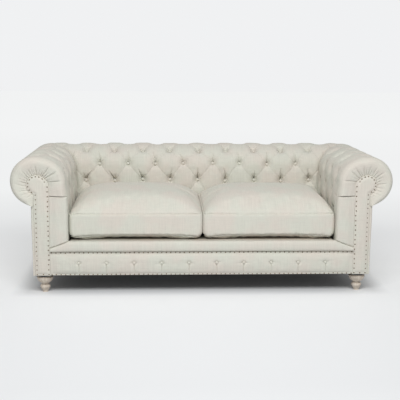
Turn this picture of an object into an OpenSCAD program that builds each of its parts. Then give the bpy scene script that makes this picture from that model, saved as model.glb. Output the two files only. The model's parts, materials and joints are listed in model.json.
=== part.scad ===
// Two-seat chesterfield sofa: a hardwood frame with scroll boards, deep-buttoned arms and back
// of one height, two loose box cushions, a padded seat lip, a buttoned front border and turned
// feet. The origin is on the floor under the middle of the sofa: X runs to the right as seen from
// the front, Y runs from the front to the back and Z runs up.

/* [Overall] */
// Width over the outer edges of the two arm rolls
overall_w = 2210; // [1950:10:2500]
// Depth from the pleated arm fronts to the outer edge of the back roll
overall_d = 990; // [940:10:1080]
// Height to the crest of the rolls
overall_h = 800; // [760:5:850]
// Height of the turned feet
foot_h = 97; // [80:1:130]

/* [Rolls and inside pads] */
// Radius of the outer half of the rolls
roll_r = 142; // [134:1:150]
// How much wider the rolls are toward the seat
roll_swell = 33; // [20:1:40]
// Reach of the inside pads from the roll's centre, at seat level
pad_reach = 184; // [180:1:204]
// Radius of the scroll heads of the frame boards
core_r = 80; // [70:1:88]
// Depth of the pleated ring in front of the arm boards
front_puff = 28; // [20:1:34]

/* [Tufting] */
// Spacing of the buttons along a row
tuft_pitch = 182; // [150:2:210]
// Spacing of the rows, measured round the roll
row_pitch = 114; // [100:1:120]
// Depth of a button below the crest of the puffs
tuft_d = 35; // [22:1:42]
// Depth of the folds that join the buttons
pleat_d = 10; // [4:1:14]
// Diameter of the tufting buttons
button_d = 20; // [14:1:26]

/* [Seat] */
// Height of the seat deck above the floor
deck_z = 310; // [290:2:330]
// Thickness of the boxing of a seat cushion
boxing_h = 129; // [100:1:150]
// Rise of a cushion's crown above its top seam
crown_h = 98; // [60:2:110]
// Rise of a cushion's underside below its bottom seam
belly_h = 26; // [15:1:35]
// Thickness of the foam core inside a cushion
core_h = 104; // [80:2:120]
// Distance from the front of the lip to the front of the cushions
lip_depth = 45; // [30:1:55]

/* [Front] */
// Spacing of the buttons on the front border
border_pitch = 160; // [130:2:190]
// Diameter of the buttons on the front border
border_button_d = 17; // [12:1:22]
// Radius of the round head of the arm facings
facing_head_r = 57; // [50:1:60]
// Thickness of the board of an arm facing
facing_t = 12; // [8:1:14]
// Rise of a facing's padded middle above its edge
facing_crown = 4; // [2:1:6]
// Spacing of the nails round the facings
facing_nail_pitch = 28; // [22:1:40]
// Spacing of the nails round the head of a facing
head_nail_pitch = 21; // [17:1:34]
// Spacing of the nails along the front border
border_nail_pitch = 26.5; // [20:0.5:40]
// Diameter of a nail's head
nail_d = 8; // [6:0.5:11]

/* [Frame] */
// Thickness of the frame boards
board_t = 32; // [24:1:36]
// Height of the seat rails
rail_h = 140; // [110:2:150]
// Thickness of the scroll boards in the middle of the arms and back
former_t = 22; // [16:1:28]
// Side of the square rails that run inside the rolls
top_rail = 40; // [30:1:46]
// Thickness of the rails to which the pads are tacked
tack_t = 25; // [18:1:30]
// Height of the rails to which the pads are tacked
tack_h = 40; // [30:1:50]
// Thickness of the covered panels outside the arms and back
panel_t = 14; // [8:1:16]
// Diameter of the spring wire
wire_d = 4; // [3:0.5:5]
// Thickness of the deck cloth over the springs
cloth_t = 2; // [1:0.5:3]
// Thickness of the dust cover
dust_t = 1.5; // [1:0.5:2]

/* [Feet] */
// Diameter of the bowl of a foot
foot_bowl_d = 96; // [84:1:100]
// Diameter of the neck of a foot
foot_neck_d = 41; // [34:1:48]
// Diameter of the ball of a foot
foot_ball_d = 59; // [52:1:66]
// Thickness of the black disc on top of a foot
foot_disc_t = 12; // [6:0.5:15]
// Diameter of the bolt that holds a foot
bolt_d = 8; // [6:1:10]
// Distance of a foot's centre from the outside of the frame
foot_inset = 49; // [49:1:54]

/* [Hidden] */
$fn = 48;

// Clearances: between soft and hard pieces, round a bolt, and beside a cushion that lifts out.
gap = 0.3;
bolt_gap = 0.2;
lift_gap = 1;
overrun = 1;

// Frame section, measured from the roll's centre: toward the seat and toward the outside.
stem_in = 82;
stem_out = 8;

scroll_x = overall_w / 2 - roll_r;
scroll_y = overall_d / 2 - roll_r;
scroll_z = overall_h - roll_r;
front_y = -overall_d / 2;
frame_x = scroll_x + stem_out;
frame_back = scroll_y + stem_out;
frame_front = front_y + front_puff;
post_x = scroll_x - stem_in;
post_y = scroll_y - stem_in;
rail_z = foot_h + foot_disc_t;
rail_top = rail_z + rail_h;
seat_x = scroll_x - pad_reach;
seat_y = scroll_y - pad_reach;

// Layers on the seat rails: springs under their clips, then the deck cloth, then the pads.
clip_t = 1.5;
cloth_z = rail_top + wire_d + gap + clip_t + gap;
pad_z = cloth_z + gap;
lip_seat_share = 0.5;
lip_back = frame_front + lip_seat_share * board_t;

// Rows of buttons, counted from the crest down: the top row lies just behind the crest.
top_row_angle = 103;
row_count = 5;
steps_per_row = 3;
low_steps = 2;
outer_steps_back = 6;
outer_steps_arm = 12;
end_steps = 4;
top_v = arc_len(top_row_angle, roll_r);
low_v = top_v - (row_count - 1) * row_pitch;
end_angle = 270 - asin((stem_out + panel_t) / roll_r);
end_v = arc_len(end_angle, roll_r);
face_drop = 123;

// Columns of buttons: a corner button sits on the 45 degree line where the arm meets the back.
half = tuft_pitch / 2;
steps_per_half = 3;
corner_u = roll_r + roll_swell;
corner_n = round((scroll_x - corner_u) / half);
corner_x = corner_n * half;
corner_y = scroll_y - (scroll_x - corner_x);
mitre_room = 20;
back_reg_n = floor((seat_x - mitre_room) / half);
arm_reg_n = ceil((corner_y - (seat_y - mitre_room)) / half);
arm_front_room = 100;
arm_last_n = 2 * floor((corner_y - frame_front - arm_front_room) / (2 * half));
front_steps = 3;

// Arm front: the keyhole facing, and the seam between the pleated roll and the plain border.
facing_u = 10;
facing_drop = 19;
seam_drop = 87;
facing_z = scroll_z - facing_drop;
facing_in = 79;
facing_out = 4;
gather_d = 8;
gather_share = 0.625;
seam_z = scroll_z - seam_drop;
mitre_low = 40;
border_t = 22;
flange_t = 9;
flange_h = 13;

// Colours, as the photograph shows them.
linen = [0.83, 0.82, 0.78];
linen_shade = [0.78, 0.76, 0.71];
wood = [0.76, 0.64, 0.48];
foot_wood = [0.66, 0.61, 0.56];
steel = [0.45, 0.45, 0.47];
bronze = [0.30, 0.24, 0.18];
black = [0.12, 0.12, 0.13];
burlap = [0.70, 0.60, 0.42];
foam = [0.93, 0.89, 0.72];

// Plain helpers

function arc_len(angle, r) = angle * PI / 180 * r;
function arc_angle(len, r) = len * 180 / (PI * r);
function smooth(t) = let(c = min(max(t, 0), 1)) c * c * (3 - 2 * c);
function unit(v) = v / norm(v);
function lerp(a, b, t) = a + (b - a) * t;

// Section of the padded surface. A place on it is an arc length v, zero at the height of the
// roll's centre on the seat side, and a point is [distance from the roll's centre, height].

function face_point(v) =
    let(angle = arc_angle(v, roll_r))
    v < 0
        ? [lerp(pad_reach, roll_r + roll_swell, smooth((v + face_drop) / face_drop)), scroll_z + v]
        : [(angle < 90 ? roll_r + roll_swell : roll_r) * cos(angle),
           scroll_z + roll_r * sin(angle)];

function face_normal(v) =
    let(angle = arc_angle(v, roll_r))
    v < 0 ? [1, 0]
        : angle < 90 ? unit([cos(angle) / (roll_r + roll_swell), sin(angle) / roll_r])
        : [cos(angle), sin(angle)];

// Tufting: p counts half cells along a row, q counts rows from the top one down, and buttons
// lie where both are whole and their sum is even. Folds run along the diagonals between
// buttons, and straight on over the roll and down to the deck.

function row_of(v) = min(max((top_v - v) / row_pitch, 0), row_count - 1);
function past_rows(v) = max(0, v - top_v, low_v - v);

fold_power = 0.6;
pit_power = 4;
fold_fade = 0.7;

function dent(p, v) =
    let(q = row_of(v),
        a = 90 * (p + q),
        b = 90 * (p - q),
        fold = 1 - pow(abs(sin(a) * sin(b)), fold_power),
        pit = pow(cos(a) * cos(b), pit_power),
        past = past_rows(v),
        fold_left = 1 - fold_fade * smooth(past / (end_v - top_v)),
        pit_left = pow(max(0, 1 - 2 * past / row_pitch), 2))
    pleat_d * fold * fold_left + (tuft_d - pleat_d) * pit * pit_left;

function dented(v, depth) = face_point(v) - depth * face_normal(v);

// Arc lengths of the rows of points, from the bottom edge to the underside of the roll.

function pad_rows(outer_steps) = concat(
    [for (i = [0 : low_steps - 1]) lerp(pad_z - scroll_z, low_v, i / low_steps)],
    [for (i = [0 : (row_count - 1) * steps_per_row - 1]) low_v + i * row_pitch / steps_per_row],
    [for (i = [0 : outer_steps]) lerp(top_v, end_v, i / outer_steps)]
);

// The pads turn the corner on the 45 degree line: seat side of the roll's centre they are
// mitred, and outside it they swing round the corner. s runs from 0 to 1 over the last stretch.
// A corner point is [distance along, distance across from the roll's centre].

function run_len(u, room) = room - max(u, 0) + (u < 0 ? -u * PI / 4 : 0);

function corner_point(s, u, room) =
    let(d = s * run_len(u, room),
        straight = room - max(u, 0),
        turn = u < 0 ? (d - straight) / -u * 180 / PI : 0)
    turn > 0 ? [room - u * sin(turn), u * cos(turn)] : [d, u];

// Joins a fine chain of point numbers to a coarse one; match gives each fine point's partner.

function bridge(fine, coarse, match, flip = false) = concat(
    [for (i = [0 : len(fine) - 2]) turned([fine[i], fine[i + 1], coarse[match[i]]], flip)],
    [for (i = [0 : len(fine) - 2], m = [match[i] : 1 : match[i + 1] - 1])
        turned([fine[i + 1], coarse[m + 1], coarse[m]], flip)]
);
function turned(f, flip) = flip ? [f[2], f[1], f[0]] : f;

// A padded piece is a fine outer grid and a coarse inner grid, joined round their edges. Each
// grid is a list of columns, and each column a list of points from the bottom edge up.

module padded_shell(outer, inner, col_match, row_match, flip = false) {
    cols = len(outer);
    rows = len(outer[0]);
    in_cols = len(inner);
    in_rows = len(inner[0]);
    base = cols * rows;
    points = concat([for (c = outer) each c], [for (c = inner) each c]);
    sheet = [for (j = [0 : cols - 2], i = [0 : rows - 2])
        let(a = j * rows + i, b = a + rows)
        each (i + j) % 2 == 0
            ? [turned([a, b + 1, b], flip), turned([a, a + 1, b + 1], flip)]
            : [turned([a, a + 1, b], flip), turned([a + 1, b + 1, b], flip)]];
    lining = [for (j = [0 : in_cols - 2], i = [0 : in_rows - 2])
        let(a = base + j * in_rows + i, b = a + in_rows)
        each [turned([a, b, b + 1], flip), turned([a, b + 1, a + 1], flip)]];
    edges = concat(
        bridge([for (j = [0 : cols - 1]) j * rows],
               [for (j = [0 : in_cols - 1]) base + j * in_rows], col_match, flip),
        bridge([for (j = [0 : cols - 1]) j * rows + rows - 1],
               [for (j = [0 : in_cols - 1]) base + j * in_rows + in_rows - 1],
               col_match, !flip),
        bridge([for (i = [0 : rows - 1]) i],
               [for (i = [0 : in_rows - 1]) base + i], row_match, !flip),
        bridge([for (i = [0 : rows - 1]) (cols - 1) * rows + i],
               [for (i = [0 : in_rows - 1]) base + (in_cols - 1) * in_rows + i],
               row_match, flip)
    );
    polyhedron(points = points, faces = concat(sheet, lining, edges), convexity = 8);
}

// Lining of the inside pads: the outline of the scroll boards with clearance. The round head is
// met by flats that stay outside it.

lining_step = 45;
lining_from = -5;
lining_flats = 5;
neck_drop = 44;
function ring_r(r) = (r + gap) / cos(lining_step / 2);
function lining_angle(n) = lining_from + n * lining_step;
function head_point(angle, r, cu, cz) = [cu + r * cos(angle), cz + r * sin(angle)];

lining_points = let(r = ring_r(core_r)) concat(
    [[stem_in + gap, pad_z],
     [stem_in + gap, scroll_z - neck_drop]],
    [for (n = [0 : lining_flats]) head_point(lining_angle(n), r, 0, scroll_z)],
    [[-stem_out - gap, scroll_z - r],
     [-stem_out - gap, face_point(end_v)[1]]]
);

// The lining's corner keeps to the square corner post, and swings round above it.
function lining_corner(u, room) =
    u < -stem_out - 2 * gap ? corner_point(1, u, room) : [room - u, u];

// Partner on the lining for each row of the sheet, by the height or angle of the row.
function lining_match(v) =
    let(angle = arc_angle(v, roll_r))
    v >= end_v - gap ? len(lining_points) - 1
        : v < -neck_drop ? (v < low_v ? 0 : 1)
        : min(2 + max(0, round((angle - lining_from) / lining_step)), len(lining_points) - 2);

// Inside back pad

back_cols = back_reg_n * steps_per_half + end_steps;

function back_point(j, v) =
    let(reg = back_reg_n * steps_per_half,
        reg_x = back_reg_n * half,
        s = max(0, abs(j) - reg) / end_steps,
        room = scroll_x - reg_x,
        along = s > 0 ? reg_x + s * run_len(face_point(v)[0], room)
                      : abs(j) * half / steps_per_half,
        uz = dented(v, dent(along / half + corner_n % 2, v)),
        c = s > 0 ? corner_point(s, uz[0], room) : [0, uz[0]],
        x = s > 0 ? reg_x + c[0] - s * gap : along)
    [sign(j) * x, scroll_y - c[1], uz[1]];

function back_lining(end, side) =
    [for (p = lining_points)
        let(reg_x = back_reg_n * half,
            c = lining_corner(p[0], scroll_x - reg_x))
        end ? [side * (reg_x + c[0] - gap), scroll_y - c[1], p[1]]
            : [side * reg_x, scroll_y - p[0], p[1]]];

module inside_back_pad() {
    rows = pad_rows(outer_steps_back);
    color(linen)
    padded_shell(
        [for (j = [-back_cols : back_cols]) [for (v = rows) back_point(j, v)]],
        [back_lining(true, -1), back_lining(false, -1), back_lining(false, 1),
         back_lining(true, 1)],
        [for (j = [-back_cols : back_cols])
            j == -back_cols ? 0 : j < 0 ? 1 : j < back_cols ? 2 : 3],
        [for (v = rows) lining_match(v)]
    );
}

// Inside arm pads, drawn for the arm on the +X side

arm_reg_y = corner_y - arm_reg_n * half;
arm_last_y = corner_y - arm_last_n * half;
arm_reg_cols = (arm_last_n - arm_reg_n) * steps_per_half;

// Gathers on the arm front: every second row of points above the seam is drawn in.
function gather(i, v) = v > seam_z - scroll_z + gap && (i - low_steps) % 2 == 0 ? 1 : 0;

function arm_side_point(v, along, depth) =
    let(uz = dented(v, depth)) [scroll_x - uz[0], along, uz[1]];

function arm_corner_point(v, s) =
    let(room = scroll_y - arm_reg_y,
        along = arm_reg_y + s * run_len(face_point(v)[0], room),
        uz = dented(v, dent((corner_y - along) / half, v)),
        c = corner_point(s, uz[0], room))
    [scroll_x - c[1], arm_reg_y + c[0] - s * gap, uz[1]];

function arm_reg_point(v, k) =
    let(along = arm_reg_y - k * half / steps_per_half)
    arm_side_point(v, along, dent((corner_y - along) / half, v));

function arm_front_point(i, v, k) =
    let(t = k / front_steps, along = lerp(arm_last_y, frame_front, t))
    arm_side_point(v, along, lerp(dent(arm_last_n, v), gather_d * gather(i, v), smooth(t)));

// Edge of the facing that a row of points runs to: the straight side below the neck, then the
// round head, then down the outer side of the stem.
head_low_angle = -20;
head_end_angle = 245;
shoulder_angle = 25;
edge_gap = 1.5;

function facing_edge(v, off) =
    let(p = face_point(v),
        from = seam_z - scroll_z,
        t = (v - from) / (end_v - from),
        angle = lerp(head_low_angle, head_end_angle, t))
    v <= from + gap
        ? [facing_in + off, p[1]]
        : v >= end_v - gap
        ? [-facing_out - off, p[1]]
        : let(h = head_point(angle, facing_head_r + off, facing_u, facing_z))
          [angle < shoulder_angle ? max(h[0], facing_in + off) : h[0], h[1]];

// The roll's front: how far each ring of points has come in and forward.
wrap_in_shares = [0.10, 0.34, 0.68, 1];
wrap_out_shares = [0.55, 0.95, 1, 0.5];

function arm_wrap_point(i, v, k) =
    let(side = dented(v, gather_d * gather(i, v)),
        edge = facing_edge(v, edge_gap),
        uz = lerp(side, edge, wrap_in_shares[k]),
        above = v > seam_z - scroll_z + gap,
        fold = gather(i, v) * gather_share * gather_d * (1 - abs(2 * wrap_in_shares[k] - 1)),
        out = above ? front_puff * wrap_out_shares[k] - fold : gap)
    [scroll_x - uz[0], frame_front - max(out, 2 * gap), uz[1]];

function arm_lining(kind) =
    [for (n = [0 : len(lining_points) - 1])
        let(p = lining_points[n],
            c = lining_corner(p[0], scroll_y - arm_reg_y),
            t = lining_edge(n))
        kind == "corner" ? [scroll_x - c[1], arm_reg_y + c[0] - gap, p[1]]
            : kind == "middle" ? [scroll_x - p[0], arm_reg_y, p[1]]
            : kind == "board" ? [scroll_x - p[0], frame_front - gap, p[1]]
            : [scroll_x - t[0], frame_front - gap, t[1]]];

function lining_edge(n) =
    let(p = lining_points[n],
        last = len(lining_points) - 1,
        room = ring_r(core_r) - norm([facing_u, facing_drop]) - overrun)
    n < 2 ? [facing_in + 2 * gap, p[1]]
        : n == 2 ? [facing_in + 2 * gap, facing_z + gap]
        : n == last ? [-facing_out - 3 * gap, p[1]]
        : n == last - 1 ? [-facing_out - 3 * gap, p[1] - 2 * gap]
        : head_point(lining_angle(n - 2), min(ring_r(facing_head_r + edge_gap), room),
                     facing_u, facing_z);

module arm_pad() {
    rows = pad_rows(outer_steps_arm);
    last = len(rows) - 1;
    outer = concat(
        [for (k = [end_steps : -1 : 1]) [for (v = rows) arm_corner_point(v, k / end_steps)]],
        [for (k = [0 : arm_reg_cols]) [for (v = rows) arm_reg_point(v, k)]],
        [for (k = [1 : front_steps]) [for (i = [0 : last]) arm_front_point(i, rows[i], k)]],
        [for (k = [0 : len(wrap_in_shares) - 1])
            [for (i = [0 : last]) arm_wrap_point(i, rows[i], k)]]
    );
    cols = len(outer);
    padded_shell(
        outer,
        [arm_lining("corner"), arm_lining("middle"), arm_lining("board"), arm_lining("edge")],
        [for (j = [0 : cols - 1]) j == 0 ? 0 : j < cols / 2 ? 1 : j < cols - 1 ? 2 : 3],
        [for (v = rows) lining_match(v)],
        flip = true
    );
}

module left_inside_arm_pad() { color(linen) mirror([1, 0, 0]) arm_pad(); }
module right_inside_arm_pad() { color(linen) arm_pad(); }

// Tufting buttons

button_h = 6;
shank_d = 3;
shank_h = 8;

module button(d, h, shank) {
    dome_r = (d * d / 4 + h * h) / (2 * h);
    rotate_extrude()
    union() {
        intersection() {
            translate([0, h - dome_r]) circle(dome_r, $fn = 2 * $fn);
            square([d / 2, h]);
        }
        if (shank > 0) translate([0, -shank]) square([shank_d / 2, shank]);
    }
}

// Turns an axis that points up to one that points across from a roll's centre.
module seated(v, depth) {
    p = dented(v, depth);
    n = face_normal(v);
    translate([p[0], 0, p[1]]) rotate([0, atan2(n[0], n[1]), 0]) children();
}

button_sink = 6;

module back_buttons() {
    color(linen)
    for (row = [0 : row_count - 1]) {
        v = top_v - row * row_pitch;
        odd = (row + corner_n) % 2;
        reach = row == 2 ? corner_x - half : scroll_x - max(face_point(v)[0], 0) - half / 2;
        n = floor((reach / half - odd) / 2);
        for (c = [-n - odd : n])
            translate([(2 * c + odd) * half, scroll_y, 0])
                rotate([0, 0, -90]) seated(v, tuft_d - button_sink)
                    button(button_d, button_h, shank_h);
    }
}

module arm_buttons() {
    for (row = [0 : row_count - 1]) {
        v = top_v - row * row_pitch;
        odd = row % 2;
        first = row == 2 ? 0 : max(0, ceil((corner_y - scroll_y + face_point(v)[0] + half / 2
            - odd * half) / tuft_pitch));
        for (c = [first : arm_last_n / 2 - odd]) {
            y = corner_y - (2 * c + odd) * half;
            corner = row == 2 && c == 0;
            translate([scroll_x, corner ? y - button_d / 2 - gap : y, 0])
                mirror([1, 0, 0]) seated(v, tuft_d - button_sink)
                    button(button_d, button_h, shank_h);
        }
    }
}

module left_arm_buttons() { color(linen) mirror([1, 0, 0]) arm_buttons(); }
module right_arm_buttons() { color(linen) arm_buttons(); }

// Scroll boards, drawn flat with the roll's centre at the origin and the seat toward +X

module scroll_shape(low) {
    circle(core_r, $fn = 96);
    translate([-stem_out, low]) square([stem_in + stem_out, -low]);
}

module former_shape(low) {
    difference() {
        scroll_shape(low);
        square([top_rail + gap, top_rail + gap], center = true);
        translate([stem_in - tack_t - gap, low - overrun])
            square([tack_t + gap + overrun, tack_h + gap + overrun]);
    }
}

// Stands a flat shape across an arm, from y to y + t.
module across_arm(y, t) {
    translate([scroll_x, y + t, scroll_z]) rotate([90, 0, 0])
        mirror([1, 0, 0]) linear_extrude(t) children();
}

// Stands a flat shape across the back, from x to x + t.
module across_back(x, t) {
    translate([x, scroll_y, scroll_z]) rotate([90, 0, 90])
        mirror([1, 0, 0]) linear_extrude(t) children();
}

module arm_board() {
    across_arm(frame_front, board_t) scroll_shape(rail_z - scroll_z);
}
module left_arm_board() { color(wood) mirror([1, 0, 0]) arm_board(); }
module right_arm_board() { color(wood) arm_board(); }

former_y = (frame_front + board_t + post_y) / 2;
module arm_former() {
    across_arm(former_y - former_t / 2, former_t) former_shape(rail_top - scroll_z);
}
module left_arm_former() { color(wood) mirror([1, 0, 0]) arm_former(); }
module right_arm_former() { color(wood) arm_former(); }

back_former_share = 0.52;
back_former_x = back_former_share * post_x;
module back_former(x) {
    across_back(x - former_t / 2, former_t) former_shape(rail_top - scroll_z);
}
module left_back_former() { color(wood) back_former(-back_former_x); }
module middle_back_former() { color(wood) back_former(0); }
module right_back_former() { color(wood) back_former(back_former_x); }

module block(from, to) { translate(from) cube(to - from); }

// Seat frame

module front_rail() {
    color(wood) block([-post_x, frame_front, rail_z], [post_x, frame_front + board_t, rail_top]);
}
module rear_rail() {
    color(wood) block([-post_x, frame_back - board_t, rail_z], [post_x, frame_back, rail_top]);
}
module rear_spring_rail() {
    color(wood) block([-frame_x + board_t, post_y - board_t, rail_z],
                      [frame_x - board_t, post_y, rail_top]);
}
module side_rail() {
    block([frame_x - board_t, frame_front + board_t, rail_z], [frame_x, post_y, rail_top]);
}
module left_side_rail() { color(wood) mirror([1, 0, 0]) side_rail(); }
module right_side_rail() { color(wood) side_rail(); }

cross_drop = 30;
cross_share = 0.31;
module cross_rails() {
    color(wood)
    for (side = [-1, 1])
        translate([side * cross_share * post_x, 0, 0])
            block([-board_t / 2, frame_front + board_t, rail_z],
                  [board_t / 2, post_y - board_t, rail_top - cross_drop]);
}

// Corner posts and the rails that run from post to post inside the rolls

rail_low = scroll_z - top_rail / 2;

module corner_post() {
    difference() {
        block([post_x, post_y, rail_z], [frame_x, frame_back, rail_low]);
        translate([foot_x, rear_foot_y, rail_z - overrun])
            cylinder(d = bolt_d + 2 * bolt_gap, h = bolt_up + bolt_gap + overrun);
    }
}
module left_corner_post() { color(wood) mirror([1, 0, 0]) corner_post(); }
module right_corner_post() { color(wood) corner_post(); }

module arm_top_rail() {
    block([scroll_x - top_rail / 2, frame_front + board_t, rail_low],
          [scroll_x + top_rail / 2, scroll_y - top_rail / 2, rail_low + top_rail]);
}
module left_arm_top_rail() { color(wood) mirror([1, 0, 0]) arm_top_rail(); }
module right_arm_top_rail() { color(wood) arm_top_rail(); }

module back_top_rail() {
    color(wood) block([-scroll_x - top_rail / 2, scroll_y - top_rail / 2, rail_low],
                      [scroll_x + top_rail / 2, scroll_y + top_rail / 2, rail_low + top_rail]);
}

module arm_tack_rail() {
    block([post_x, frame_front + board_t, rail_top],
          [post_x + tack_t, post_y, rail_top + tack_h]);
}
module left_arm_tack_rail() { color(wood) mirror([1, 0, 0]) arm_tack_rail(); }
module right_arm_tack_rail() { color(wood) arm_tack_rail(); }

module back_tack_rail() {
    color(wood) block([-post_x, post_y, rail_top], [post_x, post_y + tack_t, rail_top + tack_h]);
}

// Corner blocks: the front pair take the bolts of the feet, the rear pair brace the posts.

block_leg = 110;
block_h = 50;

module corner_triangle(leg, h) {
    linear_extrude(h) polygon([[0, 0], [-leg, 0], [0, leg]]);
}

module corner_blocks() {
    color(wood)
    for (side = [0, 1]) mirror([side, 0, 0]) {
        difference() {
            translate([frame_x - board_t, frame_front + board_t, rail_z])
                corner_triangle(block_leg, block_h);
            translate([foot_x, front_foot_y, rail_z - overrun])
                cylinder(d = bolt_d + 2 * bolt_gap, h = bolt_up + bolt_gap + overrun);
        }
        translate([post_x, frame_back - board_t, rail_z])
            rotate([0, 0, 90]) corner_triangle(frame_back - board_t - post_y, block_h);
    }
}

// Sinuous springs from the front rail to the spring rail, and their clips

spring_pitch = 178;
spring_half = 24;
loop_r = 16;
clip_l = 16;
spring_seat_share = 0.75;
spring_n = floor((seat_x - spring_half - loop_r) / spring_pitch);
spring_y0 = frame_front + spring_seat_share * board_t;
spring_y1 = post_y - board_t / 2;
bar_n = 2 * floor((spring_y1 - spring_y0) / (4 * loop_r));
bar_step = (spring_y1 - spring_y0) / bar_n;

module zigzag() {
    bend = bar_step / 2;
    for (i = [0 : bar_n])
        translate([-spring_half + bend, i * bar_step - wire_d / 2])
            square([2 * (spring_half - bend), wire_d]);
    for (i = [0 : bar_n - 1])
        translate([(i % 2 == 0 ? 1 : -1) * (spring_half - bend), (i + 0.5) * bar_step])
            rotate([0, 0, i % 2 == 0 ? 0 : 180])
                difference() {
                    circle(bend + wire_d / 2);
                    circle(bend - wire_d / 2);
                    translate([-2 * bend, -2 * bend]) square([2 * bend, 4 * bend]);
                }
}

module seat_springs() {
    color(steel)
    for (k = [-spring_n : spring_n])
        translate([k * spring_pitch, spring_y0, rail_top]) linear_extrude(wire_d) zigzag();
}

// A clip is a strap over the last bar of a spring, open toward the rail below.
module clip() {
    translate([-clip_l / 2, 0, 0]) rotate([90, 0, 90]) linear_extrude(clip_l)
        difference() {
            translate([-wire_d / 2 - gap - clip_t, 0])
                square([wire_d + 2 * gap + 2 * clip_t, wire_d + gap + clip_t]);
            translate([-wire_d / 2 - gap, -overrun])
                square([wire_d + 2 * gap, wire_d + gap + overrun]);
        }
}

module spring_clips() {
    color(steel)
    for (k = [-spring_n : spring_n], y = [spring_y0, spring_y1])
        translate([k * spring_pitch, y, rail_top]) clip();
}

// Deck

module deck_cloth() {
    color(burlap) block([-seat_x + gap, lip_back + gap, cloth_z],
                        [seat_x - gap, seat_y - gap, cloth_z + cloth_t]);
}
module deck_pad() {
    color(linen_shade) block([-seat_x + gap, lip_back + gap, cloth_z + cloth_t + gap],
                             [seat_x - gap, seat_y - gap, deck_z]);
}

module dust_cover() {
    inset = 6;
    color(black)
    difference() {
        block([-frame_x + inset, frame_front + inset, rail_z - gap - dust_t],
              [frame_x - inset, frame_back - inset, rail_z - gap]);
        for (side = [0, 1], end = [0, 1]) mirror([side, 0, 0])
            block([foot_x - foot_bowl_d / 2, end == 0 ? frame_front : rear_foot_y - foot_bowl_d / 2,
                   rail_z - gap - dust_t - overrun],
                  [frame_x, end == 0 ? front_foot_y + foot_bowl_d / 2 : frame_back, rail_z]);
    }
}

// Outside panels

module outside_arm_panel() {
    block([frame_x + gap, frame_front - facing_t, rail_z - dust_t],
          [frame_x + panel_t, frame_back, face_point(end_v)[1] - gap]);
}
module left_outside_arm_panel() { color(linen) mirror([1, 0, 0]) outside_arm_panel(); }
module right_outside_arm_panel() { color(linen) outside_arm_panel(); }
module outside_back_panel() {
    color(linen) block([-frame_x - panel_t, frame_back + gap, rail_z - dust_t],
                       [frame_x + panel_t, frame_back + panel_t, face_point(end_v)[1] - gap]);
}

// Arm facings: a keyhole board with a padded middle

facing_low = rail_z - dust_t;

module keyhole(inset) {
    translate([facing_u, facing_z - scroll_z]) circle(facing_head_r - inset, $fn = 96);
    translate([-facing_out + inset, facing_low - scroll_z + inset])
        square([facing_in + facing_out - 2 * inset, facing_z - facing_low - inset]);
}

nail_inset = 8;
crown_margin = 2;

module arm_facing() {
    across_arm(frame_front - gap - facing_t, facing_t) keyhole(0);
    across_arm(frame_front - gap - facing_t - facing_crown, facing_crown)
        keyhole(nail_inset + nail_d / 2 + crown_margin);
}
module left_arm_facing() { color(linen) mirror([1, 0, 0]) arm_facing(); }
module right_arm_facing() { color(linen) arm_facing(); }

// Nails

nail_h = 3;

module nail() { button(nail_d, nail_h, 0, $fn = 24); }

// Sets a nail that points forward at a place in the arm's section.
module face_nail(p) {
    translate([scroll_x - p[0], frame_front - gap - facing_t, p[1]])
        rotate([90, 0, 0]) nail();
}

head_from = 22;
head_to = 238;
side_top_share = 0.2;

module facing_nails() {
    in_u = facing_in - nail_inset;
    out_u = -facing_out + nail_inset;
    head_r = facing_head_r - nail_inset;
    low = facing_low + nail_inset;
    in_top = facing_z - side_top_share * head_r;
    neck = facing_z - facing_head_r;
    in_n = round((in_top - low) / facing_nail_pitch);
    out_n = round((neck - low) / facing_nail_pitch);
    head_n = round(arc_len(head_to - head_from, head_r) / head_nail_pitch);
    low_n = round((in_u - out_u) / facing_nail_pitch);
    for (i = [0 : in_n]) face_nail([in_u, lerp(low, in_top, i / in_n)]);
    for (i = [0 : out_n]) face_nail([out_u, lerp(low, neck, i / out_n)]);
    for (i = [0 : head_n])
        face_nail(head_point(lerp(head_from, head_to, i / head_n), head_r, facing_u, facing_z));
    for (i = [1 : low_n - 1]) face_nail([lerp(out_u, in_u, i / low_n), low]);
}
module left_facing_nails() { color(bronze) mirror([1, 0, 0]) facing_nails(); }
module right_facing_nails() { color(bronze) facing_nails(); }

border_x = scroll_x - facing_in - gap;

module border_nails() {
    span = border_x - nail_inset;
    n = round(2 * span / border_nail_pitch);
    color(bronze)
    for (i = [0 : n], z = [facing_low + flange_h / 2, rail_top - flange_h / 2])
        translate([lerp(-span, span, i / n), frame_front - gap - flange_t, z])
            rotate([90, 0, 0]) nail();
}

// Front border: a shallow pad with a row of buttons and a fold below each

border_low = facing_low;
button_height_share = 0.53;
fold_shares = [0, 0, 0.35, 0.6, 0, 0, 0];
border_steps = 4;
border_end_room = 12;
border_button_z = lerp(border_low, rail_top, button_height_share);
border_heights = [
    border_low, border_low + flange_h, lerp(border_low + flange_h, border_button_z, 0.5),
    border_button_z, lerp(border_button_z, rail_top - flange_h, 0.5), rail_top - flange_h,
    rail_top
];
border_depths = [flange_t, flange_t, border_t, border_t, border_t, flange_t, flange_t];
border_button_n = floor(border_x / border_pitch);
border_col_n = floor((border_x - border_end_room) / border_pitch * border_steps);

function border_point(x, i) =
    let(cell = x / border_pitch,
        near = 1 - min(1, border_steps * abs(cell - floor(cell) - 0.5)),
        inside = abs(cell) < border_button_n ? near : 0,
        fold = fold_shares[i] * (border_t - flange_t) * inside)
    [x, frame_front - gap - border_depths[i] + fold, border_heights[i]];

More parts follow.
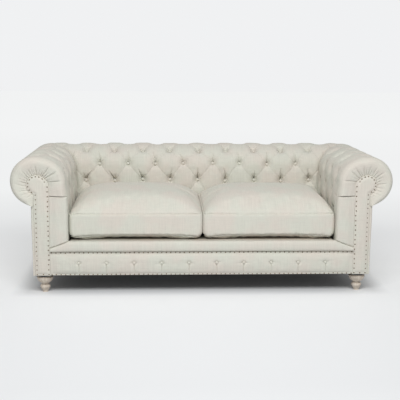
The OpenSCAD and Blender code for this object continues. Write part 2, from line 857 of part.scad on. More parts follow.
module front_border() {
    xs = concat([-border_x], [for (j = [-border_col_n : border_col_n]) j * border_pitch / border_steps],
                [border_x]);
    rows = len(border_heights);
    back = frame_front - gap;
    color(linen)
    padded_shell(
        [for (x = xs) [for (i = [0 : rows - 1]) border_point(x, i)]],
        [for (x = [-border_x, border_x])
            [[x, back, border_heights[0]], [x, back, border_heights[rows - 1]]]],
        [for (j = [0 : len(xs) - 1]) j < len(xs) / 2 ? 0 : 1],
        [for (i = [0 : rows - 1]) i < rows / 2 ? 0 : 1]
    );
}

border_button_h = 5;
border_shank_h = 5;

module border_buttons() {
    seat = border_t - max(fold_shares) * (border_t - flange_t);
    color(linen)
    for (n = [-border_button_n : border_button_n - 1])
        translate([(n + 0.5) * border_pitch, frame_front - gap - seat, border_button_z])
            rotate([90, 0, 0]) button(border_button_d, border_button_h, border_shank_h);
}

// Seat lip: a padded roll along the front of the deck, pinched under the arm borders

lip_shares = [[0, 0], [0.6, 0.02], [0.93, 0.16], [1, 0.42], [0.95, 0.72], [0.78, 0.93], [0.55, 1]];

function lip_section(x, top, back) =
    let(low = rail_top + gap, h = top - low, front = frame_front - front_y)
    concat([for (s = lip_shares) [x, frame_front - s[0] * front, low + s[1] * h]],
           [[x, back, top], [x, back, low]]);

module front_lip() {
    deep = lip_back;
    short = frame_front - 3 * gap;
    stations = [[-border_x, mitre_low, short], [-seat_x, 0, short],
                [-seat_x + gap, 0, deep], [0, 0, deep], [seat_x - gap, 0, deep],
                [seat_x, 0, short], [border_x, mitre_low, short]];
    loops = [for (s = stations) lip_section(s[0], deck_z - s[1], s[2])];
    n = len(loops[0]);
    m = len(loops);
    sides = [for (j = [0 : m - 2], i = [0 : n - 1])
        let(a = j * n + i, b = j * n + (i + 1) % n)
        each [[a, b, b + n], [a, b + n, a + n]]];
    ends = [for (i = [1 : n - 2])
        each [[0, i + 1, i], [(m - 1) * n, (m - 1) * n + i, (m - 1) * n + i + 1]]];
    color(linen) polyhedron([for (l = loops) each l], concat(sides, ends), convexity = 4);
}

// Arm borders: the plain pads between the facing and the seat, below the seam

arm_border_shares = [0, 0.3, 0.7, 1];
arm_border_rises = [0, 0.04, 0.5, 0.96, 1];
arm_border_depths = [0.5, 1, 1, 0.4] * border_t;
arm_border_edge = 0.75;

module arm_border() {
    us = [for (s = arm_border_shares) lerp(facing_in + gap, pad_reach, s)];
    function low(u) = deck_z + gap - mitre_low * (pad_reach - u) / (pad_reach - facing_in);
    padded_shell(
        [for (c = [0 : len(us) - 1])
            [for (r = arm_border_rises)
                [scroll_x - us[c],
                 frame_front - 3 * gap - arm_border_depths[c] * (arm_border_edge + r * (1 - r)),
                 lerp(low(us[c]), seam_z, r)]]],
        [for (c = [0, len(us) - 1])
            [[scroll_x - us[c], frame_front - 3 * gap, low(us[c])],
             [scroll_x - us[c], frame_front - 3 * gap, seam_z]]],
        [0, 0, 1, 1], [0, 0, 0, 1, 1], flip = true
    );
}
module left_arm_border() { color(linen) mirror([1, 0, 0]) arm_border(); }
module right_arm_border() { color(linen) arm_border(); }

// Seat cushions: crowned covers round foam cores. A cover is a stack of closed loops.

cushion_x0 = lift_gap;
cushion_x1 = seat_x - lift_gap;
cushion_y0 = front_y + lip_depth;
cushion_y1 = seat_y - lift_gap;
cushion_low = deck_z + gap;
cushion_w = cushion_x1 - cushion_x0;
cushion_d = cushion_y1 - cushion_y0;
side_pull = 6;
back_rise = 28;

// Each loop of the underside and boxing: share of the width kept, share of the boxing's height,
// share of the belly's rise, and share of the pull between the corners.
loop_shares = [
    [0.30, 0, 0, 0], [0.62, 0, 0.10, 0], [0.86, 0, 0.42, 0], [0.965, 0, 0.84, 1],
    [0.975, 0, 1, 1], [0.995, 0.28, 1, 1], [1, 0.5, 1, 0], [0.995, 0.72, 1, 1], [0.975, 1, 1, 1]
];
crown_shares = [[0.955, 0.17], [0.86, 0.52], [0.66, 0.86], [0.40, 0.97], [0.16, 1]];

loop_n = 36;
rim_power = 0.22;
function rim(i) =
    let(a = 360 * (i + 0.5) / loop_n,
        c = cos(a),
        s = sin(a))
    [sign(c) * pow(abs(c), rim_power), sign(s) * pow(abs(s), rim_power)];

function cushion_loop(keep, z, pull) =
    [for (i = [0 : loop_n - 1])
        let(p = rim(i),
            x = p[0] * (cushion_w / 2 * keep - pull * (1 - p[1] * p[1])),
            y = p[1] * (cushion_d / 2 * keep - pull * (1 - p[0] * p[0])))
        [(cushion_x0 + cushion_x1) / 2 + x, (cushion_y0 + cushion_y1) / 2 + y, z]];

function cushion_loops() = concat(
    [for (s = loop_shares)
        cushion_loop(s[0], cushion_low + belly_h * s[2] + boxing_h * s[1], side_pull * s[3])],
    [for (s = crown_shares)
        cushion_loop(s[0], cushion_low + belly_h + boxing_h + crown_h * s[1],
                     side_pull * s[0] * s[0])]
);

function tilted(p) = [p[0], p[1],
    p[2] + back_rise * max(0, (p[1] - cushion_y0) / cushion_d)
         * max(0, min(1, (p[2] - cushion_low - belly_h) / boxing_h))];

module cushion_shell() {
    loops = cushion_loops();
    m = len(loops);
    mid = [(cushion_x0 + cushion_x1) / 2, (cushion_y0 + cushion_y1) / 2];
    points = concat([for (l = loops) each [for (p = l) tilted(p)]],
        [[mid[0], mid[1], cushion_low],
         tilted([mid[0], mid[1], cushion_low + belly_h + boxing_h + crown_h])]);
    sides = [for (j = [0 : m - 2], i = [0 : loop_n - 1])
        let(a = j * loop_n + i, b = j * loop_n + (i + 1) % loop_n)
        each [[a, b + loop_n, b], [a, a + loop_n, b + loop_n]]];
    low = [for (i = [0 : loop_n - 1]) [m * loop_n, i, (i + 1) % loop_n]];
    high = [for (i = [0 : loop_n - 1])
        [m * loop_n + 1, (m - 1) * loop_n + (i + 1) % loop_n, (m - 1) * loop_n + i]];
    polyhedron(points, concat(sides, low, high), convexity = 4);
}

core_margin = 30;
core_corner = 50;

module cushion_foam(clear) {
    x0 = cushion_x0 + core_margin - clear;
    x1 = cushion_x1 - core_margin + clear;
    y0 = cushion_y0 + core_margin - clear;
    y1 = cushion_y1 - core_margin + clear;
    r = core_corner + clear;
    translate([0, 0, cushion_low + belly_h + (boxing_h - core_h) / 2 - clear])
        linear_extrude(core_h + 2 * clear) {
            translate([x0 + r, y0]) square([x1 - x0 - 2 * r, y1 - y0]);
            translate([x0, y0 + r]) square([x1 - x0, y1 - y0 - 2 * r]);
            for (x = [x0 + r, x1 - r], y = [y0 + r, y1 - r]) translate([x, y]) circle(r);
        }
}

module cushion_cover() {
    difference() {
        cushion_shell();
        cushion_foam(gap);
    }
}

module left_cushion_cover() { color(linen) mirror([1, 0, 0]) cushion_cover(); }
module right_cushion_cover() { color(linen) cushion_cover(); }
module left_cushion_core() { color(foam) mirror([1, 0, 0]) cushion_foam(0); }
module right_cushion_core() { color(foam) cushion_foam(0); }

// Turned feet: a ball on the floor, a neck and a bowl, with a black disc on top

foot_lead = 2;
foot_x = frame_x - foot_inset;
front_foot_y = frame_front + foot_inset - foot_lead;
rear_foot_y = frame_back - foot_inset;
bolt_up = 36;
bolt_down = 36;
bead_h = 6;
neck_share = 0.53;
ball_share = 0.34;
lobe_share = 0.48;
toe_share = 0.4;
core_share = 0.8;

module foot_profile() {
    ball_r = foot_ball_d / 2;
    bowl_r = foot_bowl_d / 2;
    neck_z = neck_share * foot_h;
    bowl_top = foot_h - bead_h;
    hull() {
        translate([(1 - lobe_share) * ball_r, ball_share * foot_h])
            circle(lobe_share * ball_r, $fn = 64);
        square([toe_share * ball_r, ball_share * foot_h]);
    }
    square([core_share * foot_neck_d / 2, foot_h]);
    translate([0, neck_z - bead_h / 2]) square([foot_neck_d / 2 - bead_h / 4, bead_h]);
    translate([foot_neck_d / 2 - bead_h / 4, neck_z]) circle(bead_h / 2);
    intersection() {
        translate([bowl_r - (bowl_top - neck_z), bowl_top])
            circle(bowl_top - neck_z, $fn = 96);
        square([bowl_r, bowl_top]);
    }
    translate([0, neck_z]) square([bowl_r - (bowl_top - neck_z), bowl_top - neck_z]);
    translate([0, bowl_top]) square([bowl_r - bead_h, bead_h]);
}

module foot() {
    difference() {
        rotate_extrude() foot_profile();
        translate([0, 0, foot_h - bolt_down - bolt_gap])
            cylinder(d = bolt_d + 2 * bolt_gap, h = bolt_down + bolt_gap + overrun);
    }
}

module foot_at(side, y) { color(foot_wood) translate([side * foot_x, y, 0]) foot(); }
module front_left_foot() { foot_at(-1, front_foot_y); }
module front_right_foot() { foot_at(1, front_foot_y); }
module rear_left_foot() { foot_at(-1, rear_foot_y); }
module rear_right_foot() { foot_at(1, rear_foot_y); }

module at_feet() {
    for (side = [-1, 1], y = [front_foot_y, rear_foot_y])
        translate([side * foot_x, y, foot_h]) children();
}

module foot_discs() {
    color(black)
    at_feet()
        difference() {
            cylinder(d = foot_bowl_d - bead_h, h = foot_disc_t);
            translate([0, 0, -overrun])
                cylinder(d = bolt_d + 2 * bolt_gap, h = foot_disc_t + 2 * overrun);
        }
}

module foot_bolts() {
    color(steel)
    at_feet() translate([0, 0, -bolt_down]) cylinder(d = bolt_d, h = bolt_down + bolt_up);
}

front_rail();
rear_rail();
rear_spring_rail();
left_side_rail();
right_side_rail();
cross_rails();
corner_blocks();
left_arm_board();
right_arm_board();
left_arm_former();
right_arm_former();
left_corner_post();
right_corner_post();
left_arm_top_rail();
right_arm_top_rail();
left_arm_tack_rail();
right_arm_tack_rail();
left_back_former();
middle_back_former();
right_back_former();
back_top_rail();
back_tack_rail();
seat_springs();
spring_clips();
deck_cloth();
deck_pad();
front_lip();
front_border();
inside_back_pad();
left_inside_arm_pad();
right_inside_arm_pad();
left_arm_border();
right_arm_border();
left_arm_facing();
right_arm_facing();
left_outside_arm_panel();
right_outside_arm_panel();
outside_back_panel();
dust_cover();
back_buttons();
left_arm_buttons();
right_arm_buttons();
border_buttons();
left_facing_nails();
right_facing_nails();
border_nails();
left_cushion_cover();
left_cushion_core();
right_cushion_cover();
right_cushion_core();
front_left_foot();
front_right_foot();
rear_left_foot();
rear_right_foot();
foot_discs();
foot_bolts();
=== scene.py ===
# %% [markdown]
# # A chesterfield sofa
# A two-seat sofa in pale linen: arms and back of one height, rolled outward and
# pulled in with diamonds of covered buttons, two loose box cushions, a padded lip,
# a buttoned front border, keyhole facings edged with nails, and turned feet.
# Everything is in metres: X runs to the right as seen from the front, Y from the
# front to the back, Z up. The hard frame comes packed, and the cloth is made here.

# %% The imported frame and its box
import json
import math

import bmesh
import bpy
import numpy as np
from mathutils import Matrix, Vector
from mathutils.geometry import delaunay_2d_cdt


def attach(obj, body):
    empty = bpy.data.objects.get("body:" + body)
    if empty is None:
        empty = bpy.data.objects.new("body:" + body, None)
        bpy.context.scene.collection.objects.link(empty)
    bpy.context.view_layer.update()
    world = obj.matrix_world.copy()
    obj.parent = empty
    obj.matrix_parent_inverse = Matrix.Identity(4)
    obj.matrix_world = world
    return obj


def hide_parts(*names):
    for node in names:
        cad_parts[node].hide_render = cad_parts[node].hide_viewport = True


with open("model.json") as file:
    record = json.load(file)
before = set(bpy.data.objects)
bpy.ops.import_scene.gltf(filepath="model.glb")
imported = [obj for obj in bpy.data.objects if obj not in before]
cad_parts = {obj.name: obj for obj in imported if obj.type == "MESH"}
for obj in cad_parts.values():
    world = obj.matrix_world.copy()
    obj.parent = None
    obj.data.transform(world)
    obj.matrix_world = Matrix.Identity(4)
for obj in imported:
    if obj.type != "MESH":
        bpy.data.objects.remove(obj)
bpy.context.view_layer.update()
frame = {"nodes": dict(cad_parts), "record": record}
nodes = frame["nodes"]

# %% [markdown]
# ## Sizes
# The same driving sizes as the frame, so that each piece lies where its solid is.
# An upholsterer measures a roll round its curve: v is that distance, 0 at the height
# of the roll's centre, negative down the inside, positive over the top.

# %% Sizes
WIDTH, DEPTH, HEIGHT = 2.210, 0.990, 0.800
ROLL_R, ROLL_SWELL, PAD_REACH, CORE_R = 0.142, 0.033, 0.184, 0.080
FRONT_PUFF, STEM_IN, STEM_OUT, GAP = 0.028, 0.082, 0.008, 0.0003
TUFT_PITCH, ROW_PITCH, TUFT_D = 0.182, 0.114, 0.035
ROW_COUNT, TOP_ROW_ANGLE, FACE_DROP = 5, 103, 0.123
FOOT_H, DISC_T, RAIL_H, DECK_Z = 0.097, 0.012, 0.140, 0.310
BOXING_H, CROWN_H, BELLY_H, BACK_RISE = 0.129, 0.098, 0.026, 0.028
BORDER_PITCH, BORDER_T, FLANGE_T, FLANGE_H = 0.160, 0.022, 0.009, 0.013
FACING_R, FACING_T, FACING_CROWN = 0.057, 0.012, 0.004
FACING_U, FACING_IN, FACING_OUT = 0.010, 0.079, 0.004
NAIL_INSET, NAIL_D, PANEL_T, DUST_T = 0.008, 0.008, 0.014, 0.0015
MITRE_LOW, LIP_DEPTH, LIP_BACK, WIRE_D, CLIP_T = 0.040, 0.045, 0.016, 0.004, 0.0015
FOOT_INSET, FRONT_FOOT_INSET, FOOT_BOWL = 0.049, 0.047, 0.048

SCROLL_X = WIDTH / 2 - ROLL_R
SCROLL_Y = DEPTH / 2 - ROLL_R
SCROLL_Z = HEIGHT - ROLL_R
FRONT_Y = -DEPTH / 2
FRAME_FRONT = FRONT_Y + FRONT_PUFF
FRAME_X, FRAME_BACK = SCROLL_X + STEM_OUT, SCROLL_Y + STEM_OUT
RAIL_Z = FOOT_H + DISC_T
RAIL_TOP = RAIL_Z + RAIL_H
SEAT_X, SEAT_Y = SCROLL_X - PAD_REACH, SCROLL_Y - PAD_REACH
PAD_Z = RAIL_TOP + WIRE_D + CLIP_T + 3 * GAP
FACING_Z = SCROLL_Z - 0.019
SEAM_Z = SCROLL_Z - 0.087
SEAM_V = SEAM_Z - SCROLL_Z
FACING_LOW = RAIL_Z - DUST_T
BORDER_X = SCROLL_X - FACING_IN - GAP
TOP_V = math.radians(TOP_ROW_ANGLE) * ROLL_R
LOW_V = TOP_V - (ROW_COUNT - 1) * ROW_PITCH
END_V = (math.radians(270) - math.asin((STEM_OUT + PANEL_T) / ROLL_R)) * ROLL_R
HALF = TUFT_PITCH / 2
CORNER_N = round((SCROLL_X - ROLL_R - ROLL_SWELL) / HALF)
CORNER_X = CORNER_N * HALF
CORNER_Y = SCROLL_Y - (SCROLL_X - CORNER_X)
BACK_REG = 8 * HALF
ARM_REG = CORNER_Y - HALF
ARM_LAST_N = 6
ARM_LAST = CORNER_Y - ARM_LAST_N * HALF
# How far apart the points of the buttoned cloth lie, and how many columns round a corner.
STEP, CLOSE_STEP, CORNER_COLUMNS = 0.0036, 0.0024, 47
print("rows of buttons at v =", [round(TOP_V - q * ROW_PITCH, 3) for q in range(ROW_COUNT)])

# %% [markdown]
# ## Small tools
# A mesh is made from a grid of points, so that every thread of the cloth can follow
# it: each grid carries its own flat coordinates, in metres, in a layer named weave.

# %% Small tools
SIDES = ((-1, "left"), (1, "right"))


def smooth(t):
    t = np.clip(t, 0, 1)
    return t * t * (3 - 2 * t)


def quarter_round(d, radius):
    """The height of a rounded edge of that radius, 0 to 1, at distance d from it."""
    return np.sqrt(np.clip(1 - (1 - np.clip(d / radius, 0, 1)) ** 2, 0, 1))


def eased(edge):
    """The same round, from a share of its width that already lies between 0 and 1."""
    return (edge * (2 - edge)) ** 0.5


def from_edge(x, x0, x1, y, y0, y1, width):
    """0 on the edge of a rectangle, 1 from that width inward."""
    return np.clip(np.minimum(np.minimum(x - x0, x1 - x), np.minimum(y - y0, y1 - y)) / width,
                   0, 1)


def lattice_noise(x, y, seed):
    """Soft random hills, -1 to 1, one hill or hollow to each unit of x and y."""
    table = np.random.RandomState(seed).uniform(-1, 1, (64, 64))
    x, y = np.broadcast_arrays(np.asarray(x, float) + 640, np.asarray(y, float) + 640)
    i, j = np.floor(x).astype(int), np.floor(y).astype(int)
    a, b = smooth(x - i), smooth(y - j)
    at = lambda m, n: table[m % 64, n % 64]
    near = at(i, j) * (1 - a) + at(i + 1, j) * a
    far = at(i, j + 1) * (1 - a) + at(i + 1, j + 1) * a
    return near * (1 - b) + far * b


def in_scene(name, data):
    obj = bpy.data.objects.new(name, data)
    bpy.context.scene.collection.objects.link(obj)
    return obj


def read(items, what, width=1, kind=float):
    """One value or vector of every point, face or corner of a mesh, as an array."""
    values = np.zeros(len(items) * width, kind)
    items.foreach_get(what, values)
    return values.reshape(-1, width) if width > 1 else values


def evaluated(obj):
    """The plain mesh that the object's modifiers give."""
    graph = bpy.context.evaluated_depsgraph_get()
    return bpy.data.meshes.new_from_object(obj.evaluated_get(graph))


def piece(name, points, faces, material, weave=None):
    """A smooth-shaded mesh object with its normals outward."""
    mesh = bpy.data.meshes.new(name)
    mesh.from_pydata(np.asarray(points).reshape(-1, 3).tolist(), [], faces)
    mesh.update()
    if weave is not None:
        layer = mesh.uv_layers.new(name="weave")
        corner = read(mesh.loops, "vertex_index", kind=int)
        layer.data.foreach_set("uv", np.asarray(weave).reshape(-1, 2)[corner].ravel())
    obj = in_scene(name, mesh)
    outward(obj)
    mesh.shade_smooth()
    mesh.materials.append(material)
    return obj


def outward(obj):
    bm = bmesh.new()
    bm.from_mesh(obj.data)
    bmesh.ops.recalc_face_normals(bm, faces=bm.faces)
    if bm.calc_volume(signed=True) < 0:
        bmesh.ops.reverse_faces(bm, faces=bm.faces)
    bm.to_mesh(obj.data)
    bm.free()


def grid_faces(rows, cols, start=0):
    a = start + (np.arange(rows - 1)[:, None] * cols + np.arange(cols - 1)[None]).ravel()
    return np.stack([a, a + 1, a + cols + 1, a + cols], 1).tolist()


def rim_of(rows, cols):
    """The point numbers round the edge of a grid, in order."""
    return (list(range(cols - 1)) + [r * cols + cols - 1 for r in range(rows - 1)]
            + [(rows - 1) * cols + c for c in range(cols - 1, 0, -1)]
            + [r * cols for r in range(rows - 1, 0, -1)])


def pad_on_grid(name, points, weave, material, lining=None, skip=1):
    """A closed pad: the worked face, and a coarse lining behind it, joined round the edge.
    Every skip-th point of lining is used; without it the back is one flat face."""
    rows, cols = points.shape[:2]
    faces = grid_faces(rows, cols)
    all_points, all_weave = [points.reshape(-1, 3)], [weave.reshape(-1, 2)]
    rim = rim_of(rows, cols)
    if lining is None:
        faces.append(rim[::-1])
    else:
        r = sorted({*range(0, rows, skip), rows - 1})
        c = sorted({*range(0, cols, skip), cols - 1})
        base = rows * cols
        all_points.append(lining[np.ix_(r, c)].reshape(-1, 3))
        all_weave.append(weave[np.ix_(r, c)].reshape(-1, 2))
        faces += [f[::-1] for f in grid_faces(len(r), len(c), base)]
        place = {n: k for k, n in enumerate(rim)}
        coarse = rim_of(len(r), len(c))
        fine = [place[r[m // len(c)] * cols + c[m % len(c)]] for m in coarse]
        for k, m in enumerate(coarse):
            a, b = fine[k], fine[(k + 1) % len(fine)] or len(rim)
            edge = [rim[i % len(rim)] for i in range(a, b + 1)]
            faces.append([base + m, base + coarse[(k + 1) % len(coarse)]] + edge[::-1])
    return piece(name, np.concatenate(all_points), faces, material, np.concatenate(all_weave))


def finish_soft(obj, body, replaced):
    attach(obj, body)
    if replaced:
        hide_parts(*replaced)
    print(f"{obj.name}: {len(obj.data.vertices)} points, {len(obj.data.polygons)} faces")
    return obj


# %% [markdown]
# ## Cloth, wood and metal
# Linen is a plain weave of uneven threads: some are thicker (slubs), so the cloth
# shows faint streaks both ways, and its colour drifts a little between warm and cool.
# One node group makes that for every linen piece from its flat weave coordinates.

# %% Node tools and the shared groups
def new_group(name, inputs, outputs):
    g = bpy.data.node_groups.new(name, "ShaderNodeTree")
    for n, kind, value in inputs:
        s = g.interface.new_socket(name=n, in_out="INPUT", socket_type=kind)
        if value is not None:
            s.default_value = value
    for n, kind in outputs:
        g.interface.new_socket(name=n, in_out="OUTPUT", socket_type=kind)
    return g, g.nodes.new("NodeGroupInput"), g.nodes.new("NodeGroupOutput")


def fill_in(tree, target, values):
    """Links or sets each input of a node, by its name or number."""
    for name, value in values.items():
        if isinstance(value, bpy.types.NodeSocket):
            tree.links.new(value, target.inputs[name])
        else:
            target.inputs[name].default_value = value


def node(tree, kind, inputs=None, **settings):
    made = tree.nodes.new(kind)
    for name, value in settings.items():
        setattr(made, name, value)
    fill_in(tree, made, inputs or {})
    return made


def calc(tree, op, *values, clamp=False):
    inputs = dict(enumerate(values))
    return node(tree, "ShaderNodeMath", inputs, operation=op, use_clamp=clamp).outputs[0]


def noise(tree, vector, scale, detail=2.0, rough=0.5):
    inputs = {"Vector": vector, "Scale": scale, "Detail": detail, "Roughness": rough}
    return node(tree, "ShaderNodeTexNoise", inputs).outputs["Fac"]


def stretched(tree, vector, scale):
    inputs = {0: vector, 1: scale}
    return node(tree, "ShaderNodeVectorMath", inputs, operation="MULTIPLY").outputs[0]


def ramp(tree, value, low, high, out_low=0.0, out_high=1.0):
    inputs = dict(enumerate((value, low, high, out_low, out_high)))
    return node(tree, "ShaderNodeMapRange", inputs).outputs["Result"]


def blend_colour(tree, share, a, b):
    inputs = {"Factor": share, 6: a, 7: b}
    return node(tree, "ShaderNodeMix", inputs, data_type="RGBA").outputs[2]


COLOUR, FLOAT, VECTOR = "NodeSocketColor", "NodeSocketFloat", "NodeSocketVector"


def weave_group():
    g, i, o = new_group("linen_weave", [
        ("Weave", VECTOR, None), ("Place", VECTOR, None), ("Colour", COLOUR, (0.6, 0.6, 0.5, 1)),
        ("Warm", COLOUR, (0.6, 0.6, 0.5, 1)), ("Thread", FLOAT, 0.0011), ("Slub", FLOAT, 0.06)],
        [("Colour", COLOUR), ("Roughness", FLOAT), ("Height", FLOAT)])
    flat, place = i.outputs["Weave"], i.outputs["Place"]
    cut = node(g, "ShaderNodeSeparateXYZ", {0: flat})
    turns = calc(g, "DIVIDE", 2 * math.pi, i.outputs["Thread"])
    wander = calc(g, "MULTIPLY", noise(g, flat, 90, 1), 3.0)
    across = calc(g, "SINE", calc(g, "ADD", calc(g, "MULTIPLY", cut.outputs[0], turns), wander))
    along = calc(g, "SINE", calc(g, "ADD", calc(g, "MULTIPLY", cut.outputs[1], turns), wander))
    over = calc(g, "MULTIPLY", across, along)
    slub_a = noise(g, stretched(g, flat, (260, 9, 1)), 1, 2, 0.65)
    slub_b = noise(g, stretched(g, flat, (10, 240, 1)), 1, 2, 0.65)
    slubs = calc(g, "SUBTRACT", calc(g, "ADD", slub_a, calc(g, "MULTIPLY", slub_b, 0.6)), 0.8)
    patch, mottle = noise(g, place, 7.5, 2, 0.55), noise(g, place, 55, 3, 0.6)
    tint = blend_colour(g, ramp(g, patch, 0.38, 0.62), i.outputs["Colour"], i.outputs["Warm"])
    value = calc(g, "ADD", 1.0, calc(g, "MULTIPLY", slubs, i.outputs["Slub"]))
    value = calc(g, "ADD", value, calc(g, "MULTIPLY", over, 0.02))
    value = calc(g, "ADD", value, ramp(g, mottle, 0.3, 0.7, -0.012, 0.012))
    toned = node(g, "ShaderNodeVectorMath", {0: tint, "Scale": value}, operation="SCALE")
    height = calc(g, "ADD", calc(g, "MULTIPLY", over, 0.35), calc(g, "MULTIPLY", slubs, 1.1))
    fill_in(g, o, {"Colour": toned.outputs[0], "Height": height,
                   "Roughness": ramp(g, slubs, -0.4, 0.4, 0.96, 0.82)})
    return g


def grain_group():
    g, i, o = new_group("wood_grain", [
        ("Place", VECTOR, None), ("Light", COLOUR, (0.6, 0.5, 0.4, 1)),
        ("Dark", COLOUR, (0.4, 0.3, 0.2, 1)), ("Lime", FLOAT, 0.0)],
        [("Colour", COLOUR), ("Roughness", FLOAT), ("Height", FLOAT)])
    bend, rings, pores = (
        noise(g, stretched(g, i.outputs["Place"], size), 1, detail, rough)
        for size, detail, rough in (((7, 7, 7), 2, 0.5), ((85, 85, 9), 4, 0.62),
                                    ((900, 900, 45), 2, 0.5)))
    share = ramp(g, calc(g, "ADD", rings, calc(g, "MULTIPLY", bend, 0.35)), 0.5, 0.85)
    base = blend_colour(g, share, i.outputs["Light"], i.outputs["Dark"])
    lime = calc(g, "MULTIPLY", ramp(g, pores, 0.45, 0.62), i.outputs["Lime"])
    fill_in(g, o, {"Colour": blend_colour(g, lime, base, (0.62, 0.59, 0.55, 1)),
                   "Roughness": ramp(g, pores, 0.3, 0.7, 0.48, 0.75),
                   "Height": calc(g, "ADD", calc(g, "MULTIPLY", rings, 0.5), pores)})
    return g


def worn_group():
    g, i, o = new_group("worn_metal", [
        ("Place", VECTOR, None), ("Clean", COLOUR, (0.4, 0.4, 0.4, 1)),
        ("Dull", COLOUR, (0.2, 0.2, 0.2, 1))],
        [("Colour", COLOUR), ("Roughness", FLOAT), ("Height", FLOAT)])
    marks = noise(g, i.outputs["Place"], 160, 4, 0.65)
    colour = blend_colour(g, ramp(g, marks, 0.35, 0.65), i.outputs["Clean"], i.outputs["Dull"])
    fill_in(g, o, {"Colour": colour, "Height": marks,
                   "Roughness": ramp(g, marks, 0.3, 0.7, 0.32, 0.58)})
    return g


GROUPS = {"weave": weave_group(), "grain": grain_group(), "worn": worn_group()}


def linear(r, g, b):
    """A colour as a screen shows it, 0 to 255, in the values that light adds in."""
    c = [x / 255 for x in (r, g, b)]
    return (*[x / 12.92 if x <= 0.04045 else ((x + 0.055) / 1.055) ** 2.4 for x in c], 1)


def material(name, group, values, bump=0.0002, **shader):
    m = bpy.data.materials.new(name)
    m.use_nodes = True
    t = m.node_tree
    where = {"Place": node(t, "ShaderNodeTexCoord").outputs["Object"]}
    if group == "weave":
        where["Weave"] = node(t, "ShaderNodeUVMap", uv_map="weave").outputs[0]
    use = node(t, "ShaderNodeGroup", node_tree=GROUPS[group])
    fill_in(t, use, {**where, **values})
    relief = node(t, "ShaderNodeBump", {"Distance": bump, "Strength": 1.0,
                                        "Height": use.outputs["Height"]})
    fill_in(t, t.nodes["Principled BSDF"], {
        "Base Color": use.outputs["Colour"], "Roughness": use.outputs["Roughness"],
        "Normal": relief.outputs[0], **{k.replace("_", " "): v for k, v in shader.items()}})
    return m


# %% The materials
LINEN = material("linen", "weave", {
    "Colour": linear(213, 213, 202), "Warm": linear(216, 210, 200), "Slub": 0.22},
    bump=0.00022, Sheen_Weight=0.12, Sheen_Roughness=0.6, Specular_IOR_Level=0.2)
DECK_LINEN = material("deck_linen", "weave", {
    "Colour": linear(199, 195, 183), "Warm": linear(202, 192, 178), "Thread": 0.0016,
    "Slub": 0.05}, bump=0.0002, Specular_IOR_Level=0.2)
BURLAP = material("burlap", "weave", {
    "Colour": linear(170, 146, 104), "Warm": linear(158, 130, 90), "Thread": 0.004,
    "Slub": 0.2}, bump=0.0009, Specular_IOR_Level=0.15)
BLACK_CLOTH = material("black_cloth", "weave", {
    "Colour": linear(38, 38, 40), "Warm": linear(46, 44, 44), "Thread": 0.0013,
    "Slub": 0.1}, bump=0.0002, Specular_IOR_Level=0.2)
FRAME_WOOD = material("frame_wood", "grain", {
    "Light": linear(205, 176, 134), "Dark": linear(168, 132, 90)}, bump=0.0002)
LIMED_WOOD = material("limed_wood", "grain", {
    "Light": linear(220, 208, 192), "Dark": linear(186, 170, 152), "Lime": 0.75},
    bump=0.0004, Specular_IOR_Level=0.3)
STEEL = material("steel", "worn", {
    "Clean": linear(140, 141, 145), "Dull": linear(98, 99, 103)}, bump=0.00005, Metallic=1.0)
BRONZE = material("bronze", "worn", {
    "Clean": linear(150, 136, 118), "Dull": linear(98, 86, 72)}, bump=0.0001, Metallic=0.85)
BLACK = material("black_disc", "worn", {
    "Clean": linear(34, 33, 34), "Dull": linear(24, 23, 24)}, bump=0.00005)
FOAM = material("foam", "worn", {
    "Clean": linear(236, 226, 184), "Dull": linear(226, 214, 168)}, bump=0.0004)
SLOT_FINISH = {"linen": LINEN, "deck_linen": DECK_LINEN, "frame_wood": FRAME_WOOD,
               "whitewashed_wood": LIMED_WOOD, "steel": STEEL, "bronze": BRONZE,
               "black_disc": BLACK, "black_cloth": BLACK_CLOTH, "burlap": BURLAP, "foam": FOAM}
for part in frame["record"]["subparts"]:
    held = nodes.get(part["node"])
    if held is not None:
        held.data.materials.clear()
        held.data.materials.append(SLOT_FINISH[part["material_slot"]])
print(len(SLOT_FINISH), "materials")

# %% [markdown]
# ## The rolled section
# Arms and back share one section: up the inside face, over the roll and down to the
# outside panel. The upholsterer ties a button at each whole step of the diamond grid,
# then folds the spare cloth along the diagonals, so each puff is a stuffed diamond.
# The depth below the crest of a puff is worked out from where a point lies in its cell.

# %% The section and the tufting
# Of each row of buttons, from the top: spread (radians), longest reach, depth, how many.
CREASES = [(0.9, 0.045, 0.008, 2), (1.15, 0.046, 0.022, 2), (0.24, 0.095, 0.017, 3),
           (0.36, 0.080, 0.022, 5), (0.50, 0.050, 0.010, 3)]
SOFT_FOLD, THIN_FOLD = 0.0048, 0.0029


def face_point(v):
    angle = v / ROLL_R
    inner = ROLL_R + ROLL_SWELL
    low = PAD_REACH + (inner - PAD_REACH) * smooth((v + FACE_DROP) / FACE_DROP)
    u = np.where(v < 0, low, np.where(angle < math.pi / 2, inner, ROLL_R) * np.cos(angle))
    z = np.where(v < 0, SCROLL_Z + v, SCROLL_Z + ROLL_R * np.sin(angle))
    return u, z


def face_normal(v):
    angle = v / ROLL_R
    rx = np.where(angle < math.pi / 2, ROLL_R + ROLL_SWELL, ROLL_R)
    nu, nz = np.cos(angle) / rx, np.sin(angle) / ROLL_R
    size = np.hypot(nu, nz)
    return np.where(v < 0, 1, nu / size), np.where(v < 0, 0, nz / size)


